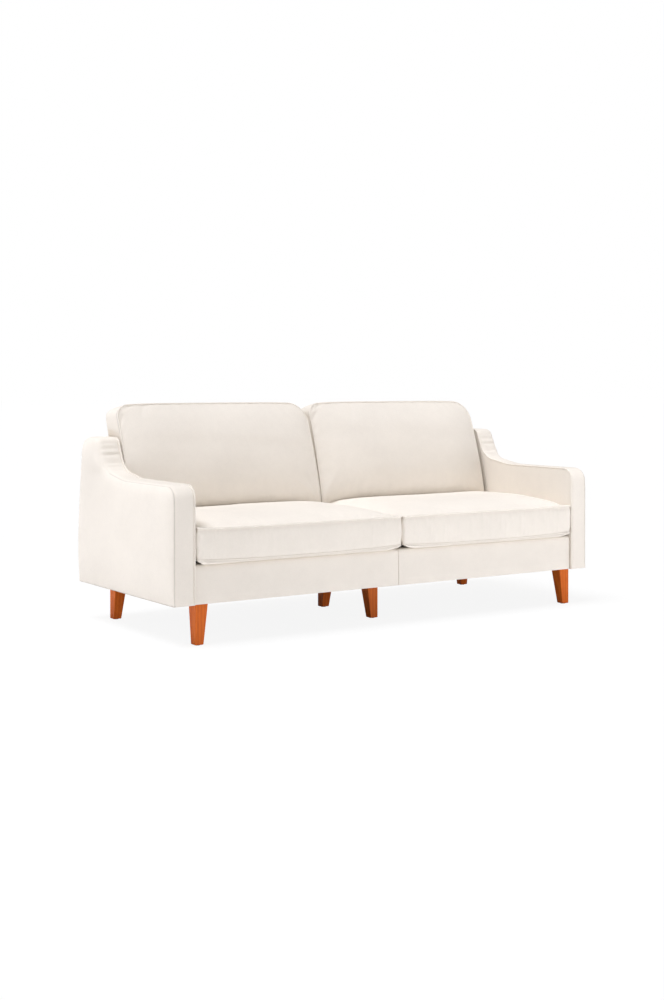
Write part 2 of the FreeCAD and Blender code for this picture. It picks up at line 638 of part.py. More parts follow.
def make_arm(side, word):
    """One arm: padded cover wrapped all round, two plywood boards, posts and rails between them."""
    left = side < 0
    outer_x = "0 - sizes.width / 2" if left else "sizes.width / 2 - sizes.arm_width"
    body = doc.addObject("PartDesign::Body", f"arm_{word}_blank")
    outline = body_sketch(body, f"arm_{word}_outline", ARM_OUTLINE, ARM_ROUNDS, role="YZ_Plane")
    pad = body.newObject("PartDesign::Pad", f"arm_{word}_pad")
    pad.Profile = outline
    bind(pad, Length="sizes.arm_width")
    doc.recompute()
    outer_face, inner_face = (0, size("sizes.arm_width")) if left else (size("sizes.arm_width"), 0)
    rounding = body.newObject("PartDesign::Fillet", f"arm_{word}_outer_edge")
    rounding.Base = (pad, upper_edges(pad.Shape, outer_face))
    bind(rounding, Radius="sizes.outer_edge_round")
    doc.recompute()
    bevel = body.newObject("PartDesign::Chamfer", f"arm_{word}_inner_edge")
    bevel.Base = (rounding, upper_edges(rounding.Shape, inner_face))
    bind(bevel, Size="sizes.inner_edge_bevel")
    doc.recompute()
    bind(body, x=outer_x, y=FRONT)

    hollow = extrude(f"arm_{word}_hollow", inset(f"arm_{word}_inner_outline", outline, "sizes.cover_wall"),
                     "sizes.arm_width - 2 * sizes.cover_wall")
    bind(hollow, x=f"{outer_x} + sizes.cover_wall", y=FRONT)
    shank_start = f"({INNER} - sizes.overrun)"
    through = "sizes.overrun + 2 * sizes.cover_wall + sizes.arm_board"
    bore = "sizes.bolt_radius + sizes.fit"
    bores = arm_bolt_tools(side, f"arm_{word}_cover_bore", bore, shank_start, through)
    node(cut(f"arm_{word}_cover_shell", body, [hollow] + bores), f"arm_{word}_cover")

    gap = "(sizes.cover_wall + sizes.fit)"
    board_outline = inset(f"arm_{word}_board_outline", outline, gap)
    board_places = [f"{outer_x} + {gap}", f"{outer_x} + sizes.arm_width - {gap} - sizes.arm_board"]
    outer_board_x, inner_board_x = board_places if left else reversed(board_places)
    outer_board = extrude(f"arm_{word}_outer_board", board_outline, "sizes.arm_board")
    node(bind(outer_board, x=outer_board_x, y=FRONT), f"arm_{word}_outer_board")
    inner_board = extrude(f"arm_{word}_inner_board_blank", board_outline, "sizes.arm_board")
    bind(inner_board, x=inner_board_x, y=FRONT)
    bores = arm_bolt_tools(side, f"arm_{word}_board_bore", bore, shank_start, f"{through} + sizes.overrun")
    node(cut(f"arm_{word}_inner_board", inner_board, bores), f"arm_{word}_inner_board")

    clear_x = f"({outer_x} + {gap} + sizes.arm_board)"
    clear_width = f"(sizes.arm_width - 2 * {gap} - 2 * sizes.arm_board)"
    post_base = f"(sizes.base_height + {gap})"
    front_top = f"(sizes.arm_top - sizes.front_round - {post_base})"
    rear_y = "(sizes.depth - sizes.rear_lean - sizes.arm_post_rear_inset - sizes.arm_post)"
    rear_top = f"({CREST} - sizes.crest_round - {post_base})"
    posts = [
        box(f"arm_{word}_front_post", clear_x, gap, post_base, clear_width, "sizes.arm_post", front_top),
        box(f"arm_{word}_rear_post", clear_x, rear_y, post_base, clear_width, "sizes.arm_post", rear_top),
    ]
    node(group(f"arm_{word}_post_pair", posts), f"arm_{word}_posts")
    rail_y = f"({gap} + sizes.arm_post)"
    low = box(f"arm_{word}_low_rail_blank", clear_x, rail_y, post_base, clear_width, f"{rear_y} - {rail_y}",
              "sizes.arm_rail + sizes.arm_bolt_height / 2")
    hold = f"{through} + sizes.bolt_bite + sizes.fit"
    bolt_hold = arm_bolt_tools(side, f"arm_{word}_rail_bore", bore, shank_start, hold)
    high_z = f"(sizes.arm_top - {gap} - sizes.arm_rail)"
    high_run = f"{SCOOP_FOOT} - sizes.scoop_lead - {rail_y}"
    high = box(f"arm_{word}_high_rail", clear_x, rail_y, high_z, clear_width, high_run, "sizes.arm_rail")
    rails = [cut(f"arm_{word}_low_rail", low, bolt_hold), high]
    node(group(f"arm_{word}_rail_pair", rails), f"arm_{word}_rails")


def upper_edges(shape, x):
    """Names of the edges that lie in the plane at x and reach above the sofa's underside."""
    near = size("sizes.fit")
    names = []
    for i, edge in enumerate(shape.Edges, start=1):
        bounds = edge.BoundBox
        in_plane = abs(bounds.XMin - x) < near and abs(bounds.XMax - x) < near
        if in_plane and bounds.ZMax > size("sizes.base_height") + near:
            names.append(f"Edge{i}")
    return names


def make_arm_bolts():
    """Bolts from inside the seat box through the side rails into the arms."""
    bolts = []
    inside = f"({INNER} - sizes.fit - sizes.rail_thick - sizes.hex_head_height)"
    held = "2 * sizes.cover_wall + sizes.arm_board + sizes.bolt_bite"
    shank = f"(sizes.hex_head_height + sizes.rail_thick + {held})"
    height = "sizes.hex_head_height"
    for side, word in ((-1, "left"), (1, "right")):
        heads = arm_bolt_tools(side, f"arm_bolt_head_{word}", "sizes.hex_head", inside, height, HEX_FLATS)
        shanks = arm_bolt_tools(side, f"arm_bolt_shank_{word}", "sizes.bolt_radius", inside, shank)
        bolts += [fuse(f"arm_bolt_{word}_{i + 1}", list(pair)) for i, pair in enumerate(zip(heads, shanks))]
    node(group("arm_bolts", bolts), "arm_bolts")


BACK_FOOT = "(sizes.depth - sizes.back_foot)"
BACK_HEAD = "(sizes.depth - sizes.back_head)"
BACK_TOP = f"({CREST} - sizes.back_drop)"
BACK_SHELF = f"({DECK_TOP} + sizes.fit)"
BACK_OUTLINE = [
    (f"{BOX_REAR} + sizes.fit", "sizes.base_height"),
    (f"{BOX_REAR} + sizes.fit", BACK_SHELF),
    (BACK_FOOT, BACK_SHELF),
    (BACK_HEAD, BACK_TOP),
    ("sizes.depth - sizes.rear_lean", BACK_TOP),
] + REAR_EDGE
BACK_ROUNDS = {
    3: "sizes.back_front_round", 4: "sizes.back_rear_round", 5: "sizes.swell_round", 6: "sizes.swell_round",
}
RIB_GAP = "(sizes.cover_wall + 2 * sizes.fit + sizes.webbing_thick)"


def back_bolt_rods(name, radius, start, length, flats=ROUND_FLATS):
    """Rods through the rear rail into the back, where the back's bolts go."""
    side = f"({INNER} - sizes.arm_bolt_inset)"
    rods = []
    for i in range(BACK_BOLTS):
        x = f"(0 - {side} + 2 * {side} * {i} / {BACK_BOLTS - 1})"
        height = f"({BOX_BASE} + sizes.arm_bolt_height)"
        rods.append(rod(f"{name}_{i + 1}", x, start, height, radius, length, (0, 1, 0), flats))
    return rods


def back_bolt_bores(name):
    """Tools that open a way for the back's bolts."""
    start = f"({BOX_REAR} - sizes.rail_thick - sizes.overrun)"
    length = f"(sizes.rail_thick + 2 * sizes.overrun + {RIB_GAP} + sizes.bolt_bite)"
    return back_bolt_rods(name, "sizes.bolt_radius + sizes.fit", start, length)


def make_back():
    """Leaning back between the arms: cover, plywood ribs, two long rails, webbing and bolts."""
    span = f"2 * ({INNER} - sizes.fit)"
    start = f"0 - ({INNER} - sizes.fit)"
    outline = side_profile("back_outline", BACK_OUTLINE, BACK_ROUNDS)
    solid = bind(extrude("back_blank", outline, span), x=start, y=FRONT)
    hollow = extrude("back_hollow", inset("back_inner_outline", outline, "sizes.cover_wall"),
                     f"{span} - 2 * sizes.cover_wall")
    bind(hollow, x=f"{start} + sizes.cover_wall", y=FRONT)
    bores = back_bolt_bores("back_cover_bore")
    node(cut("back_cover_shell", solid, [hollow] + bores), "back_cover")

    rail_start = f"({start} + sizes.cover_wall + sizes.fit)"
    rail_span = f"({span} - 2 * sizes.cover_wall - 2 * sizes.fit)"
    top_y = f"({BACK_HEAD} + {RIB_GAP})"
    top_z = f"({BACK_TOP} - {RIB_GAP} - sizes.back_rail_height)"
    low_y = f"({BOX_REAR} + sizes.fit + {RIB_GAP})"
    low_z = f"({BOX_BASE} + sizes.arm_bolt_height - sizes.back_rail_height / 2)"
    top_size = (rail_span, "sizes.rail_thick", "sizes.back_rail_height")
    low_size = (rail_span, "2 * sizes.rail_thick", "sizes.back_rail_height")
    node(box("back_rail_high", rail_start, top_y, top_z, *top_size), "back_top_rail")
    low_rail = box("back_rail_low_blank", rail_start, low_y, low_z, *low_size)
    bores = back_bolt_bores("back_rail_bore")
    node(cut("back_rail_low", low_rail, bores), "back_bottom_rail")

    rib_outline = inset("rib_outline", outline, RIB_GAP)
    ribs = []
    for i in range(RIBS):
        rib = extrude(f"rib_blank_{i + 1}", rib_outline, "sizes.rib_thick")
        bind(rib, x=f"{rail_start} + ({rail_span} - sizes.rib_thick) * {i} / {RIBS - 1}", y=FRONT)
        notches = [
            box(f"rib_notch_high_{i + 1}", rail_start, top_y, top_z, *top_size),
            box(f"rib_notch_low_{i + 1}", rail_start, low_y, low_z, *low_size),
        ]
        ribs.append(cut(f"rib_{i + 1}", rib, notches))
    node(group("ribs", ribs), "back_ribs")
    make_webbing(rail_start, rail_span)
    inside = f"({BOX_REAR} - sizes.rail_thick - sizes.hex_head_height)"
    heads = back_bolt_rods("back_bolt_head", "sizes.hex_head", inside, "sizes.hex_head_height", HEX_FLATS)
    shank = f"(sizes.hex_head_height + sizes.rail_thick + sizes.fit + {RIB_GAP} + sizes.bolt_bite)"
    shanks = back_bolt_rods("back_bolt_shank", "sizes.bolt_radius", inside, shank)
    bolts = [fuse(f"back_bolt_{i + 1}", list(pair)) for i, pair in enumerate(zip(heads, shanks))]
    node(group("back_bolts", bolts), "back_bolts")


def make_webbing(start, span):
    """Elastic straps stretched across the front edges of the ribs."""
    rise = f"({BACK_TOP} - {BACK_SHELF})"
    run = f"({BACK_HEAD} - {BACK_FOOT})"
    slant = f"sqrt({rise} ^ 2 + {run} ^ 2)"
    lean = size(f"atan({run} / {rise})")
    straps = []
    for i in range(WEBBING_STRAPS):
        strap = doc.addObject("Part::Box", f"strap_{i + 1}")
        strap.Placement.Rotation = Rotation(Vector(1, 0, 0), -lean)
        along = f"({slant} * {2 * i + 1} / {2 * WEBBING_STRAPS} - sizes.webbing_width / 2)"
        behind = "(sizes.cover_wall + sizes.fit)"
        depth = f"({BACK_FOOT} + ({along} * {run} + {behind} * {rise}) / {slant})"
        height = f"({BACK_SHELF} + ({along} * {rise} - {behind} * {run}) / {slant})"
        bind(strap, x=start, y=f"{FRONT} + {depth}", z=height, Length=span, Width="sizes.webbing_thick",
             Height="sizes.webbing_width")
        straps.append(strap)
    node(group("webbing", straps), "back_webbing")


def stations(width, corner):
    """Places across a cushion where its cross-sections stand, with how full it is at each.

    Gives (place, corner share, crown share): both shares run from 0 at the end to 1.
    """
    half = width / 2
    places = [corner * share for share in CORNER_STATION_SHARES]
    places += [half * share for share in CROWN_STATION_SHARES]
    rows = []
    for place in places:
        corner_share = math.sqrt(1 - max(0, 1 - place / corner) ** 2)
        crown_share = 1 - (1 - place / half) ** CROWN_FULLNESS_POWER
        rows.append((place, corner_share, crown_share))
    mirrored = [(width - place, near, full) for place, near, full in reversed(rows[:-1])]
    return rows + mirrored


def loft(name, wires):
    """Closed solid through cross-sections, kept as a feature of the document."""
    solid = doc.addObject("Part::Feature", name)
    solid.Shape = Part.makeLoft(wires, True, True)
    return solid


CUSHION_WIDTH = f"({INNER} - sizes.cushion_side_gap - sizes.fit)"


def seat_section(x, corner_share, crown_share):
    """Side view of a seat cushion at one place across it."""
    drawn = size("sizes.seat_corner_round") * (1 - corner_share)
    lift = size("sizes.seat_corner_lift") * (1 - crown_share)
    front = size("sizes.boxing_bulge - sizes.cushion_nose") + drawn
    rear = size(f"{BACK_FOOT} - sizes.cushion_rear_gap") - drawn
    base = size("sizes.seat_level") + lift
    seam_low = size("sizes.seat_seam_low")
    seam_high = size("sizes.seat_seam_high")
    shoulder = seam_high + size("sizes.seat_shoulder_rise") * crown_share
    front_shoulder = size("sizes.seat_shoulder")
    rear_shoulder = size("sizes.depth - sizes.back_cushion_foot")
    crown = size("sizes.seat_crown_rise") * crown_share + size("sizes.fit")
    lip = size("sizes.seat_lip") + drawn
    points = [
        Vector(x, front, seam_low), Vector(x, front, seam_high), Vector(x, front_shoulder, shoulder),
        Vector(x, rear_shoulder, shoulder), Vector(x, rear, seam_high), Vector(x, rear, base),
        Vector(x, front + lip, base),
    ]
    bulge = size("sizes.boxing_bulge")
    soft = size("sizes.seat_shoulder_rise") * crown_share * SHOULDER_BULGE_SHARE + size("sizes.fit")
    bulges = [bulge, soft, crown, 0, 0, 0, (seam_low - base) * SHOULDER_BULGE_SHARE]
    return section_wire(points, bulges)


def section_wire(points, bulges):
    """Closed wire through points; a side with a bulge is an arc, the others are straight."""
    edges = []
    for i, bulge in enumerate(bulges):
        start = points[i]
        end = points[(i + 1) % len(points)]
        edges.append(bulged(start, end, bulge) if bulge else Part.LineSegment(start, end).toShape())
    wire = Part.Wire(edges)
    wire.translate(Vector(0, size(FRONT), 0))
    return wire


def make_seat_cushion(side, word):
    """Boxed and welted seat cushion: crowned cover over a foam core."""
    width = size(CUSHION_WIDTH)
    start = size("sizes.fit") if side > 0 else -size("sizes.fit") - width
    corner = size("sizes.seat_corner_round")
    wires = [seat_section(start + x, near, full) for x, near, full in stations(width, corner)]
    blank = loft(f"seat_cushion_blank_{word}", wires)
    start_x = "sizes.fit" if side > 0 else f"0 - sizes.fit - {CUSHION_WIDTH}"
    base = "sizes.seat_level + sizes.seat_core_inset"
    core_x = f"{start_x} + sizes.seat_core_inset"
    core_y = "sizes.seat_core_inset + sizes.boxing_bulge - sizes.cushion_nose"
    run = f"({BACK_FOOT} - sizes.cushion_rear_gap + sizes.cushion_nose - sizes.boxing_bulge)"
    core_size = [
        f"{CUSHION_WIDTH} - 2 * sizes.seat_core_inset",
        f"{run} - 2 * sizes.seat_core_inset",
        "sizes.seat_seam_high - sizes.seat_level - sizes.seat_core_inset",
    ]
    hollow = box(f"seat_hollow_{word}", core_x, core_y, base, *core_size)
    node(cut(f"seat_cover_{word}", blank, [hollow]), f"seat_cushion_cover_{word}")
    core_corner = [f"{place} + sizes.fit" for place in (core_x, core_y, base)]
    core = box(f"seat_core_{word}", *core_corner, *[f"{length} - 2 * sizes.fit" for length in core_size])
    node(core, f"seat_cushion_core_{word}")


BACK_CUSHION_BASE = "(sizes.seat_seam_high + sizes.seat_shoulder_rise + sizes.back_cushion_gap)"
BACK_CUSHION_REACH = f"(sizes.back_cushion_top - {BACK_CUSHION_BASE})"
LEAN = f"(({BACK_HEAD} - {BACK_FOOT}) / ({BACK_TOP} - {BACK_SHELF}))"
FRONT_LEAN = f"((sizes.back_cushion_foot - sizes.back_cushion_head) / {BACK_CUSHION_REACH})"


def back_section(x, top_share, bottom_share, crown_share):
    """Side view of a back cushion at one place across it."""
    base = size(BACK_CUSHION_BASE) + size("sizes.back_bottom_round") * (1 - bottom_share)
    top_drop = size("sizes.back_top_round") * (1 - top_share)
    front_top = size("sizes.back_cushion_top") - top_drop
    rear_top = front_top - size("sizes.back_gusset_drop")
    foot = size("sizes.depth - sizes.back_cushion_foot")

    def front_at(height):
        return foot + (height - size(BACK_CUSHION_BASE)) * size(FRONT_LEAN)

    def rear_at(height):
        return size(f"{BACK_FOOT} - sizes.cushion_rear_gap") + (height - size(BACK_SHELF)) * size(LEAN)

    points = [
        Vector(x, front_at(base), base), Vector(x, front_at(front_top), front_top),
        Vector(x, rear_at(rear_top), rear_top), Vector(x, rear_at(base), base),
    ]
    bow = size("sizes.back_side_bow") + size("sizes.back_crown") * crown_share
    return section_wire(points, [bow, size("sizes.back_top_bow"), 0, 0])


def make_back_cushion(side, word):
    """Boxed and welted back cushion: crowned cover over a fibre core, leaning on the back."""
    width = size(CUSHION_WIDTH)
    start = size("sizes.fit") if side > 0 else -size("sizes.fit") - width
    wires = []
    top_round = size("sizes.back_top_round")
    bottom_round = size("sizes.back_bottom_round")
    for x, near, full in stations(width, top_round):
        place = min(x, width - x)
        bottom_share = math.sqrt(1 - max(0, 1 - place / bottom_round) ** 2)
        wires.append(back_section(start + x, near, bottom_share, full))
    blank = loft(f"back_cushion_blank_{word}", wires)
    start_x = "sizes.fit" if side > 0 else f"0 - sizes.fit - {CUSHION_WIDTH}"
    low = f"({BACK_CUSHION_BASE} + sizes.back_core_inset)"
    high = "(sizes.back_cushion_top - sizes.back_gusset_drop - sizes.back_core_inset)"
    foot = "sizes.depth - sizes.back_cushion_foot"
    front = f"({foot} + sizes.back_core_inset - {BACK_CUSHION_BASE} * {FRONT_LEAN})"
    rear = f"({BACK_FOOT} - sizes.cushion_rear_gap - sizes.back_core_inset - {BACK_SHELF} * {LEAN})"
    corners = [
        (f"{front} + {low} * {FRONT_LEAN}", low), (f"{front} + {high} * {FRONT_LEAN}", high),
        (f"{rear} + {high} * {LEAN}", high), (f"{rear} + {low} * {LEAN}", low),
    ]
    outline = side_profile(f"back_core_outline_{word}", corners, {})
    core_width = f"{CUSHION_WIDTH} - 2 * sizes.back_core_inset"
    hollow = extrude(f"back_hollow_{word}", outline, core_width)
    bind(hollow, x=f"{start_x} + sizes.back_core_inset", y=FRONT)
    node(cut(f"back_cushion_cover_{word}_shell", blank, [hollow]), f"back_cushion_cover_{word}")
    core_outline = inset(f"back_core_inner_{word}", outline, "sizes.fit")
    core = extrude(f"back_core_{word}", core_outline, f"{core_width} - 2 * sizes.fit")
    bind(core, x=f"{start_x} + sizes.back_core_inset + sizes.fit", y=FRONT)
    node(core, f"back_cushion_core_{word}")


def check_document():
    """Stop if any object failed, or if a piece has no valid solid."""
    doc.recompute()
    for item in doc.Objects:
        if "Invalid" in item.State or "Error" in item.State:
            raise RuntimeError(f"{item.Name} failed: {item.State}")
    for item in nodes:
        shape = item.Shape
        if shape.isNull() or not shape.isValid() or not shape.Solids:
            raise RuntimeError(f"{item.Label} has no valid solid")


def write_parts():
    """Write one STEP file for each piece."""
    os.makedirs(OUTPUT_FOLDER, exist_ok=True)
    for item in nodes:
        item.Shape.exportStep(os.path.join(OUTPUT_FOLDER, f"{item.Label}.step"))
        print(f"{item.Label}: {len(item.Shape.Solids)} solids, {item.Shape.Volume:.0f} mm3")


def main():
    """Build the sofa piece by piece, check it and write it."""
    fill_sheet()
    make_legs()
    make_glides()
    make_hanger_bolts()
    make_tee_nuts()
    make_corner_blocks()
    make_rails()
    make_joists()
    make_springs()
    make_deck_and_cloths()
    for side, word in ((-1, "left"), (1, "right")):
        make_arm(side, word)
    make_arm_bolts()
    make_back()
    for side, word in ((-1, "left"), (1, "right")):
        make_seat_cushion(side, word)
        make_back_cushion(side, word)
    check_document()
    write_parts()


main()
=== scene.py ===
"""Dresses a two-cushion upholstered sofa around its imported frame.

The padded covers, the loose cushions, their welts and every finish are made here. Each
length is in metres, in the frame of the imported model: +X runs to the right seen from the
front, -Y is the front and +Z is up.
"""

import json
import logging
import math
from collections.abc import Callable
from dataclasses import dataclass
from enum import Enum

import bmesh
import bpy
import numpy as np
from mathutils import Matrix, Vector

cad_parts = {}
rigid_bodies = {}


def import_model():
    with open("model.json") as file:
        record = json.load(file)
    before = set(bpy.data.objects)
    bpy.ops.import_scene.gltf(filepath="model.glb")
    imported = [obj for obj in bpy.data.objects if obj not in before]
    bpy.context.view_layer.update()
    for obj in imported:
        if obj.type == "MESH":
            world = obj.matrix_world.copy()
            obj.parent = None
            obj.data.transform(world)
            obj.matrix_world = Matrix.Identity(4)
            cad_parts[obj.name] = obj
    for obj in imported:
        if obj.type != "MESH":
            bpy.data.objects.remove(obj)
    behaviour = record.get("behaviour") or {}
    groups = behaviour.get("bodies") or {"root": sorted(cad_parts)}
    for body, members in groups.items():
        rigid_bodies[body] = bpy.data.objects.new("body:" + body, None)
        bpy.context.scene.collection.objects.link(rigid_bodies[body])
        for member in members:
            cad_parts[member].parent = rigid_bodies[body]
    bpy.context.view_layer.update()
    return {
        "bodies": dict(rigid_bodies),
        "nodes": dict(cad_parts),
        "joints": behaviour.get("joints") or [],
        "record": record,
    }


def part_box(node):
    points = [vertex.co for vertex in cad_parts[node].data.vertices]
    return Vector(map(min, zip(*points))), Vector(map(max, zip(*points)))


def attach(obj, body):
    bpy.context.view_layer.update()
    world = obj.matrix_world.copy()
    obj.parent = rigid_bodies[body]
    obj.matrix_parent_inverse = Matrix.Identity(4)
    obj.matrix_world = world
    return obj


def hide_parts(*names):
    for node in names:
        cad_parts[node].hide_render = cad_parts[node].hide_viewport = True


Array = np.ndarray
Change = Callable[[Array], Array]
Socket = bpy.types.NodeSocket
Value = Socket | float | tuple[float, ...]
Pair = tuple[float, float]
Triple = tuple[float, float, float]
Colour = tuple[float, float, float, float]
Piece = bpy.types.Object
LOG = logging.getLogger("sofa")
CLOTH_MAP = "cloth"
# Name of the seam mask, by which the cloth paints shade along its seams.
SEAM_SHADE_MASK = "seam"
MM = 0.001
MIRROR = np.array([-1.0, 1.0, 1.0])
TRACE_STEP = 3 * MM
PUCKER_START = 3 * MM
FULL_TO_ARM = 14
FULL_TO_MIDDLE = 6
REAR_FOOT = 0.851
REAR_PROFILE = ((0.860, 0.340, 0.300), (0.860, 0.250, 0.300))
BACK_FOOT = 0.7523
BACK_PROFILE = ((0.7523, 0.298, 0.004), (0.660, 0.298, 0.004), (0.768, 0.745, 0.012), (0.825, 0.745, 0.034))
ARM_PROFILE = (
    (0.0, 0.592, 0.052),
    (0.430, 0.592, 0.400),
    (0.597, 0.621, 0.108),
    (0.655, 0.747, 0.035),
    (0.825, 0.747, 0.070),
)
BLOCK_GRID = (14, 12)
BLOCK_GATHER = 0.7
BLOCK_LEVELS = (0.0, 0.12, 0.5, 0.88, 1.0)
BLOCK_SKIN = 0.1 * MM


class Side(Enum):
    """The two ends of the sofa, seen from the front."""

    LEFT = "left"
    RIGHT = "right"

    @property
    def sign(self) -> int:
        """Minus one on the left, one on the right."""
        return -1 if self is Side.LEFT else 1


class Slot(Enum):
    """The finishes that the record names for the pieces made here."""

    BODY_FABRIC = "body_fabric"
    CUSHION_FABRIC = "cushion_fabric"
    SEAT_FOAM = "seat_foam"
    CUSHION_FIBRE = "cushion_fibre"
    FELT = "felt"
    DUST_CLOTH = "dust_cloth"


def paced(count: int, density: Array) -> Array:
    """Places stations between 0 and 1 that crowd together where a density is high.

    The stations are the inverse of the running sum of the density.

    Args:
        count: How many stations there are.
        density: Wanted density at evenly spaced places from 0 to 1.

    Returns:
        The stations, from 0 to 1.
    """
    places = np.linspace(0.0, 1.0, len(density))
    middle = (density[1:] + density[:-1]) / 2
    total = np.concatenate([[0.0], np.cumsum(middle)])
    return np.interp(np.linspace(0.0, 1.0, count), total / total[-1], places)


def gathered(count: int, share: float) -> Array:
    """Stations from 0 to 1 that crowd at both ends: a - share * sin(2 pi a) / (2 pi) for even a."""
    even = np.linspace(0.0, 1.0, count)
    return even - share * np.sin(2 * np.pi * even) / (2 * np.pi)


def ripple(place: Array, wavelength: float, seed: int) -> Array:
    """An uneven wave between about -1 and 1.

    Five sines are added, with wavelengths around the given one and seeded phases.

    Args:
        place: Where along the wave each value is wanted, in metres.
        wavelength: The middle wavelength, in metres.
        seed: Picks the phases.

    Returns:
        The wave at each place.
    """
    rng = np.random.default_rng(seed)
    stretch = rng.uniform(0.6, 1.7, 5)
    phase = rng.uniform(0.0, 2 * np.pi, 5)
    waves = np.sin(2 * np.pi * place[..., None] / (wavelength * stretch) + phase)
    return waves.sum(axis=-1) / 3


def swell(first: Array, second: Array, wavelength: float, seed: int) -> Array:
    """An uneven two-way undulation between about -1 and 1.

    Seven plane waves are added, each with a seeded direction, wavelength and phase.

    Args:
        first: One coordinate of the points, in metres.
        second: The other coordinate, in metres.
        wavelength: The middle wavelength, in metres.
        seed: Picks the waves.

    Returns:
        The undulation at each point.
    """
    rng = np.random.default_rng(seed)
    angle = rng.uniform(0.0, np.pi, 7)
    length = wavelength * rng.uniform(0.7, 1.6, 7)
    phase = rng.uniform(0.0, 2 * np.pi, 7)
    along = first[..., None] * np.cos(angle) + second[..., None] * np.sin(angle)
    return np.sin(2 * np.pi * along / length + phase).sum(axis=-1) / 3.5


def unit(value: Array) -> Array:
    """Limits values to the range from 0 to 1."""
    return np.clip(value, 0, 1)


def bell(gap: Array, width: float) -> Array:
    """A bell curve, which is exp(-(gap / width) squared)."""
    return np.exp(-((gap / width) ** 2))


def travelled(chain: Array, closed: bool = False) -> Array:
    """How far along a chain each sample lies, and the way back to the first if it is closed."""
    step = np.roll(chain, -1, axis=0) - chain if closed else np.diff(chain, axis=0)
    return np.concatenate([[0.0], np.cumsum(np.linalg.norm(step, axis=1))])


def nearest(points: Array, ring: Array) -> tuple[Array, Array, Array]:
    """Finds how far points lie from a closed outline.

    Each point is dropped onto every straight step of the outline and the shortest drop
    is kept.

    Args:
        points: Flat points, shape (..., 2).
        ring: The outline's points in order, shape (n, 2).

    Returns:
        The distance of each point, how far along the outline its nearest place is, and
        the direction towards that place.
    """
    flat = points.reshape(-1, 1, 2)
    step = np.roll(ring, -1, axis=0) - ring
    length = np.linalg.norm(step, axis=1)
    start = np.concatenate([[0.0], np.cumsum(length)[:-1]])
    share = ((flat - ring) * step).sum(axis=-1) / np.maximum(length**2, 1e-12)
    share = unit(share)
    reach = ring + share[..., None] * step - flat
    gap = np.linalg.norm(reach, axis=-1)
    best = gap.argmin(axis=1)
    row = np.arange(len(best))
    along = start[best] + share[row, best] * length[best]
    towards = reach[row, best] / np.maximum(gap[row, best], 1e-9)[:, None]
    shape = points.shape[:-1]
    return gap[row, best].reshape(shape), along.reshape(shape), towards.reshape(points.shape)


def ring_normals(ring: Array) -> Array:
    """Outward directions of a closed flat outline that runs anticlockwise.

    Args:
        ring: The outline's points, shape (n, 2).

    Returns:
        Unit directions, shape (n, 2).
    """
    run = np.roll(ring, -1, axis=0) - np.roll(ring, 1, axis=0)
    out = np.stack([run[:, 1], -run[:, 0]], axis=1)
    return out / np.linalg.norm(out, axis=1, keepdims=True)


def rim(rows: int, columns: int) -> Array:
    """Flat indexes of a grid's border, once round, anticlockwise from its first point."""
    grid = np.arange(rows * columns).reshape(rows, columns)
    return np.concatenate([grid[0, :-1], grid[:-1, -1], grid[-1, :0:-1], grid[:0:-1, 0]])


def edge_of(grid: Array) -> Array:
    """The border of a grid of points, once round, anticlockwise, shape (n, k)."""
    return grid.reshape(-1, grid.shape[-1])[rim(*grid.shape[:2])]


def room(node: str) -> tuple[Array, Array]:
    """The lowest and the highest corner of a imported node."""
    low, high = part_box(node)
    return np.array(low), np.array(high)


def grid_quads(rows: int, columns: int) -> Array:
    """Corner indexes of a grid's cells, anticlockwise, shape (cells, 4).

    Args:
        rows: How many rows of points the grid has.
        columns: How many columns.

    Returns:
        The indexes.
    """
    grid = np.arange(rows * columns).reshape(rows, columns)
    corners = (grid[:-1, :-1], grid[:-1, 1:], grid[1:, 1:], grid[1:, :-1])
    return np.stack(corners, axis=-1).reshape(-1, 4)


def rounded(x: Array, y: Array, half: Pair, radius: Array) -> tuple[Array, Array]:
    """Carries a rectangle's points onto a rectangle with round corners.

    Within a corner's square of side r, a point at shares p and q of it moves onto a
    quarter disc: p sqrt(1 - q q / 2) and q sqrt(1 - p p / 2), both times r. Elsewhere a
    point stays.

    Args:
        x: First coordinate, from minus to plus the first half size.
        y: Second coordinate, from minus to plus the second half size.
        half: The two half sizes.
        radius: The radius of the corner that each point lies nearest to.

    Returns:
        The moved coordinates.
    """
    p = unit((np.abs(x) - half[0] + radius) / radius)
    q = unit((np.abs(y) - half[1] + radius) / radius)
    new_x = np.abs(x) - p * radius + radius * p * np.sqrt(1 - q * q / 2)
    new_y = np.abs(y) - q * radius + radius * q * np.sqrt(1 - p * p / 2)
    return np.sign(x) * new_x, np.sign(y) * new_y


def make_object(name: str, points: Array, quads: Array, uv: Array) -> Piece:
    """Puts a quad mesh into the scene.

    Args:
        name: The object's name.
        points: Vertices, shape (n, 3).
        quads: Corner indexes, shape (m, 4).
        uv: Cloth coordinates in metres for each face corner, shape (m, 4, 2).

    Returns:
        The new object, smooth shaded.
    """
    mesh = bpy.data.meshes.new(name)
    mesh.vertices.add(len(points))
    mesh.vertices.foreach_set("co", points.astype(np.float32).ravel())
    mesh.loops.add(quads.size)
    mesh.loops.foreach_set("vertex_index", quads.astype(np.int32).ravel())
    mesh.polygons.add(len(quads))
    mesh.polygons.foreach_set("loop_start", np.arange(0, quads.size, 4, dtype=np.int32))
    mesh.polygons.foreach_set("use_smooth", np.ones(len(quads), dtype=bool))
    mesh.update(calc_edges=True)
    layer = mesh.uv_layers.new(name=CLOTH_MAP)
    layer.data.foreach_set("uv", uv.astype(np.float32).ravel())
    mesh.validate()
    piece = bpy.data.objects.new(name, mesh)
    bpy.context.scene.collection.objects.link(piece)
    return piece


